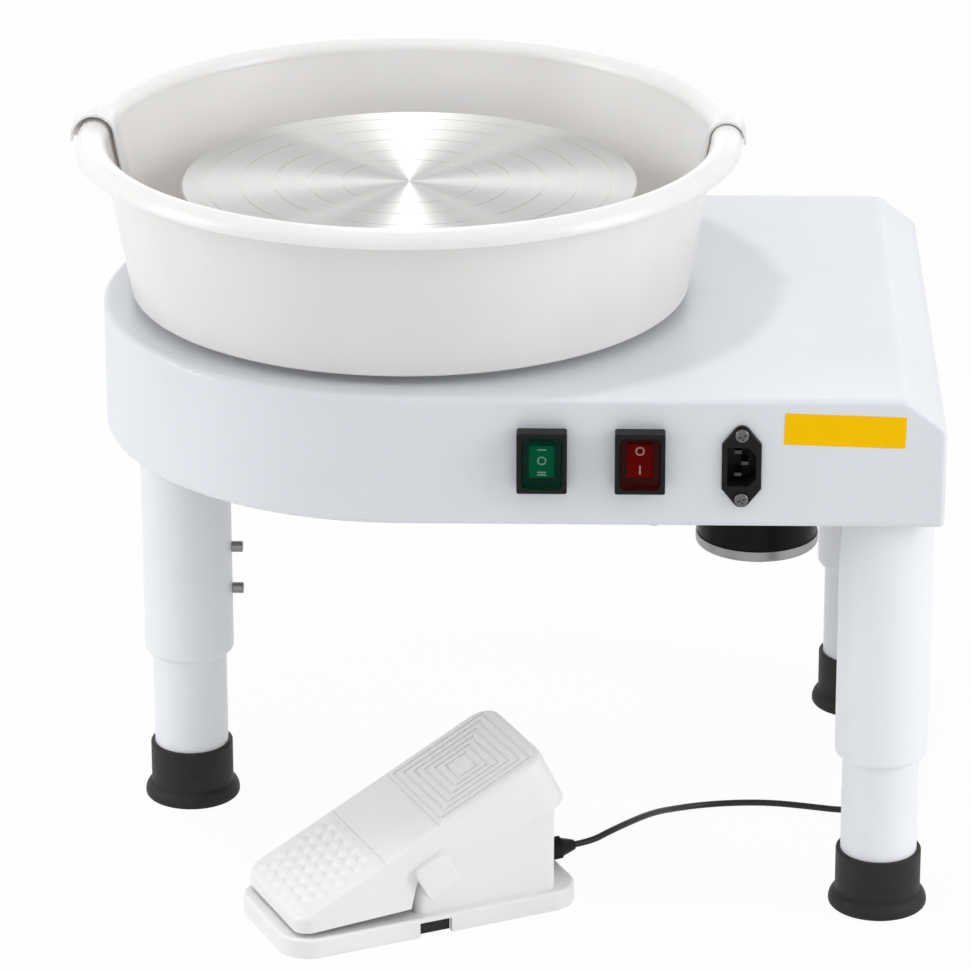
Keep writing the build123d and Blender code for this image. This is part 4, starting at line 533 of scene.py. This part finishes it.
def start_bar(width, height, corner):
    """Flat bar with soft corners, in edit mode with all of it selected."""
    bpy.ops.object.select_all(action="DESELECT")
    bpy.ops.mesh.primitive_plane_add(size=1)
    bpy.ops.object.mode_set(mode="EDIT")
    bpy.ops.mesh.select_all(action="SELECT")
    bpy.ops.transform.resize(value=(width, height, 1))
    bpy.ops.mesh.bevel(offset=corner, segments=CORNER_STEPS, affect="VERTICES")
    bpy.ops.mesh.select_all(action="SELECT")


def start_ring(outer, line):
    """Flat ring, in edit mode with all of it selected."""
    bpy.ops.object.select_all(action="DESELECT")
    bpy.ops.mesh.primitive_circle_add(vertices=RING_SIDES, radius=outer, fill_type="NGON")
    bpy.ops.object.mode_set(mode="EDIT")
    bpy.ops.mesh.select_all(action="SELECT")
    bpy.ops.mesh.inset(thickness=line)
    bpy.ops.mesh.delete(type="FACE")
    bpy.ops.mesh.select_all(action="SELECT")


def settle(name, sheet, place, body, material):
    """Gives the flat shape its thickness and puts it in its place, with the place in its mesh."""
    bpy.ops.object.mode_set(mode="OBJECT")
    piece = bpy.context.active_object
    piece.name = name
    piece.data.name = name
    wall = piece.modifiers.new("wall", "SOLIDIFY")
    wall.thickness = sheet
    wall.offset = 1
    bpy.ops.object.modifier_apply(modifier=wall.name)
    piece.matrix_world = place
    bpy.ops.object.transform_apply(location=True, rotation=True, scale=True)
    dress(piece, material)
    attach(piece, body)


def make_sticker():
    start_bar(STICKER_WIDTH, STICKER_HEIGHT, STICKER_CORNER)
    spot = Matrix.Translation((WHEEL.x + STICKER_X, PANEL_FACE, STICKER_Z))
    turn = Matrix.Rotation(radians(STICKER_TURN), 4, "Z")
    settle("panel_sticker", STICKER_SHEET, spot @ FACING_OUT @ turn, "stand", YELLOW_VINYL)


def lay_on_rocker(name, switch, tilt, height, body, material):
    """Bends the flat mark to the rocker's dished face and rides it on the rocker."""
    bpy.ops.transform.translate(value=(0, height, 0))
    bpy.ops.object.mode_set(mode="OBJECT")
    for vertex in bpy.context.active_object.data.vertices:
        vertex.co.z = ROCKER_FACE - ROCKER_DISH * (1 - abs(vertex.co.y) / ROCKER_HALF)
    spot = middle(switch)
    panel = Matrix.Translation((spot.x, PANEL_FACE, spot.z)) @ FACING_OUT
    rocker = Matrix.Translation((0, 0, ROCKER_AXIS)) @ Matrix.Rotation(radians(tilt), 4, "X")
    settle(name, INK, panel @ rocker, body, material)


def make_marks():
    """Bar, ring and double bar on the green rocker; ring and upright bar on the red one."""
    def on_green(name, height):
        lay_on_rocker(name, "direction_switch", DIRECTION_TILT, height, "direction_rocker", GREEN_INK)

    def on_red(name, height):
        lay_on_rocker(name, "power_switch", POWER_TILT, height, "power_rocker", RED_INK)

    for name, height in GREEN_BARS.items():
        start_bar(BAR, LINE, LINE / 4)
        on_green(name, height)
    start_ring(RING, LINE)
    on_green("stop_mark", STOP_HEIGHT)
    start_ring(RING, LINE)
    on_red("off_mark", OFF_HEIGHT)
    start_bar(LINE, BAR, LINE / 4)
    on_red("on_mark", ON_HEIGHT)


make_sticker()
make_marks()


# Floor, background and lamps
FLOOR_SIZE = 40
FLOOR_GREY = (0.9, 0.9, 0.9, 1)
FLOOR_GLOW = 0.95
PURE_WHITE = (1, 1, 1, 1)
WORLD_TINT = (0.97, 0.98, 1.0, 1)
WORLD_LIGHT = 0.58


def seen_directly(shading):
    """1 for rays from the camera, from gloss and through glass; 0 for the light on the object."""
    camera = shading.node("ShaderNodeLightPath", output="Is Camera Ray")
    gloss = shading.node("ShaderNodeLightPath", output="Is Glossy Ray")
    glass = shading.node("ShaderNodeLightPath", output="Is Transmission Ray")
    return camera | gloss | glass


def bare_shading(tree):
    tree.nodes.clear()
    return Shading(tree)


def make_floor():
    """White floor that keeps a trace of the shadows."""
    bpy.ops.object.select_all(action="DESELECT")
    bpy.ops.mesh.primitive_plane_add(size=FLOOR_SIZE, location=(0, 0, 0))
    floor = bpy.context.active_object
    floor.name = "floor"
    material = bpy.data.materials.new("floor_white")
    material.use_nodes = True
    f = bare_shading(material.node_tree)
    matt = f.node("ShaderNodeBsdfDiffuse", None, {"Color": FLOOR_GREY})
    glow = f.node("ShaderNodeEmission", None, {"Color": PURE_WHITE})
    mix = f.node("ShaderNodeMixShader", None, {0: seen_directly(f) * FLOOR_GLOW, 1: matt, 2: glow})
    f.node("ShaderNodeOutputMaterial", None, {"Surface": mix})
    dress(floor, material)


def make_world():
    """Soft light from all round behind a plain white background."""
    world = bpy.data.worlds.new("studio")
    bpy.context.scene.world = world
    world.use_nodes = True
    f = bare_shading(world.node_tree)
    light = f.node("ShaderNodeBackground", None, {"Color": WORLD_TINT, "Strength": WORLD_LIGHT})
    white = f.node("ShaderNodeBackground", None, {"Color": PURE_WHITE})
    mix = f.node("ShaderNodeMixShader", None, {0: seen_directly(f), 1: light, 2: white})
    f.node("ShaderNodeOutputWorld", None, {"Surface": mix})


def add_lamp(name, place, target, width, height, watts, on_matt=True, on_gloss=True):
    """Soft box that is aimed at a target and hidden from the camera."""
    data = bpy.data.lights.new(name, "AREA")
    data.shape = "RECTANGLE"
    data.size = width
    data.size_y = height
    data.energy = watts
    lamp = bpy.data.objects.new(name, data)
    lamp.location = place
    lamp.rotation_euler = (Vector(target) - Vector(place)).to_track_quat("-Z", "Y").to_euler()
    lamp.visible_camera = False
    lamp.visible_diffuse = on_matt
    lamp.visible_glossy = on_gloss
    bpy.context.scene.collection.objects.link(lamp)


def make_lamps():
    # Narrow strip behind the wheel, for the bright wedge on the disc
    add_lamp("back_strip", place=(-0.11, 1.35, 2.05), target=(-0.056, 0.018, 0.42),
             width=0.17, height=1.4, watts=4.2, on_matt=False)
    # Light from above, and a smaller lamp whose shadow of the pan lies on the table
    add_lamp("overhead_fill", place=(-0.05, -1.0, 2.3), target=(-0.05, 0, 0.40),
             width=2.0, height=2.0, watts=7.0, on_gloss=False)
    add_lamp("key_box", place=(-0.38, -0.15, 2.40), target=(-0.05, 0, 0.40),
             width=0.26, height=0.26, watts=9.0, on_gloss=False)
    # Boxes round the object, for pale edges on the legs, the table and the pan
    add_lamp("left_box", place=(-2.3, -0.4, 1.1), target=(0, 0, 0.25),
             width=1.0, height=1.6, watts=20.0)
    add_lamp("right_box", place=(2.2, -0.8, 1.1), target=(0.2, 0, 0.25),
             width=1.0, height=1.6, watts=22.0)
    add_lamp("back_box", place=(0.0, 3.0, 1.0), target=(0.0, 0, 0.35),
             width=3.0, height=1.2, watts=6.5)
    add_lamp("front_fill", place=(0.1, -3.0, 0.5), target=(0.0, 0, 0.2),
             width=1.6, height=0.6, watts=1.0)


make_floor()
make_world()
make_lamps()
bpy.context.scene.view_settings.view_transform = "Standard"

bpy.context.view_layer.update()
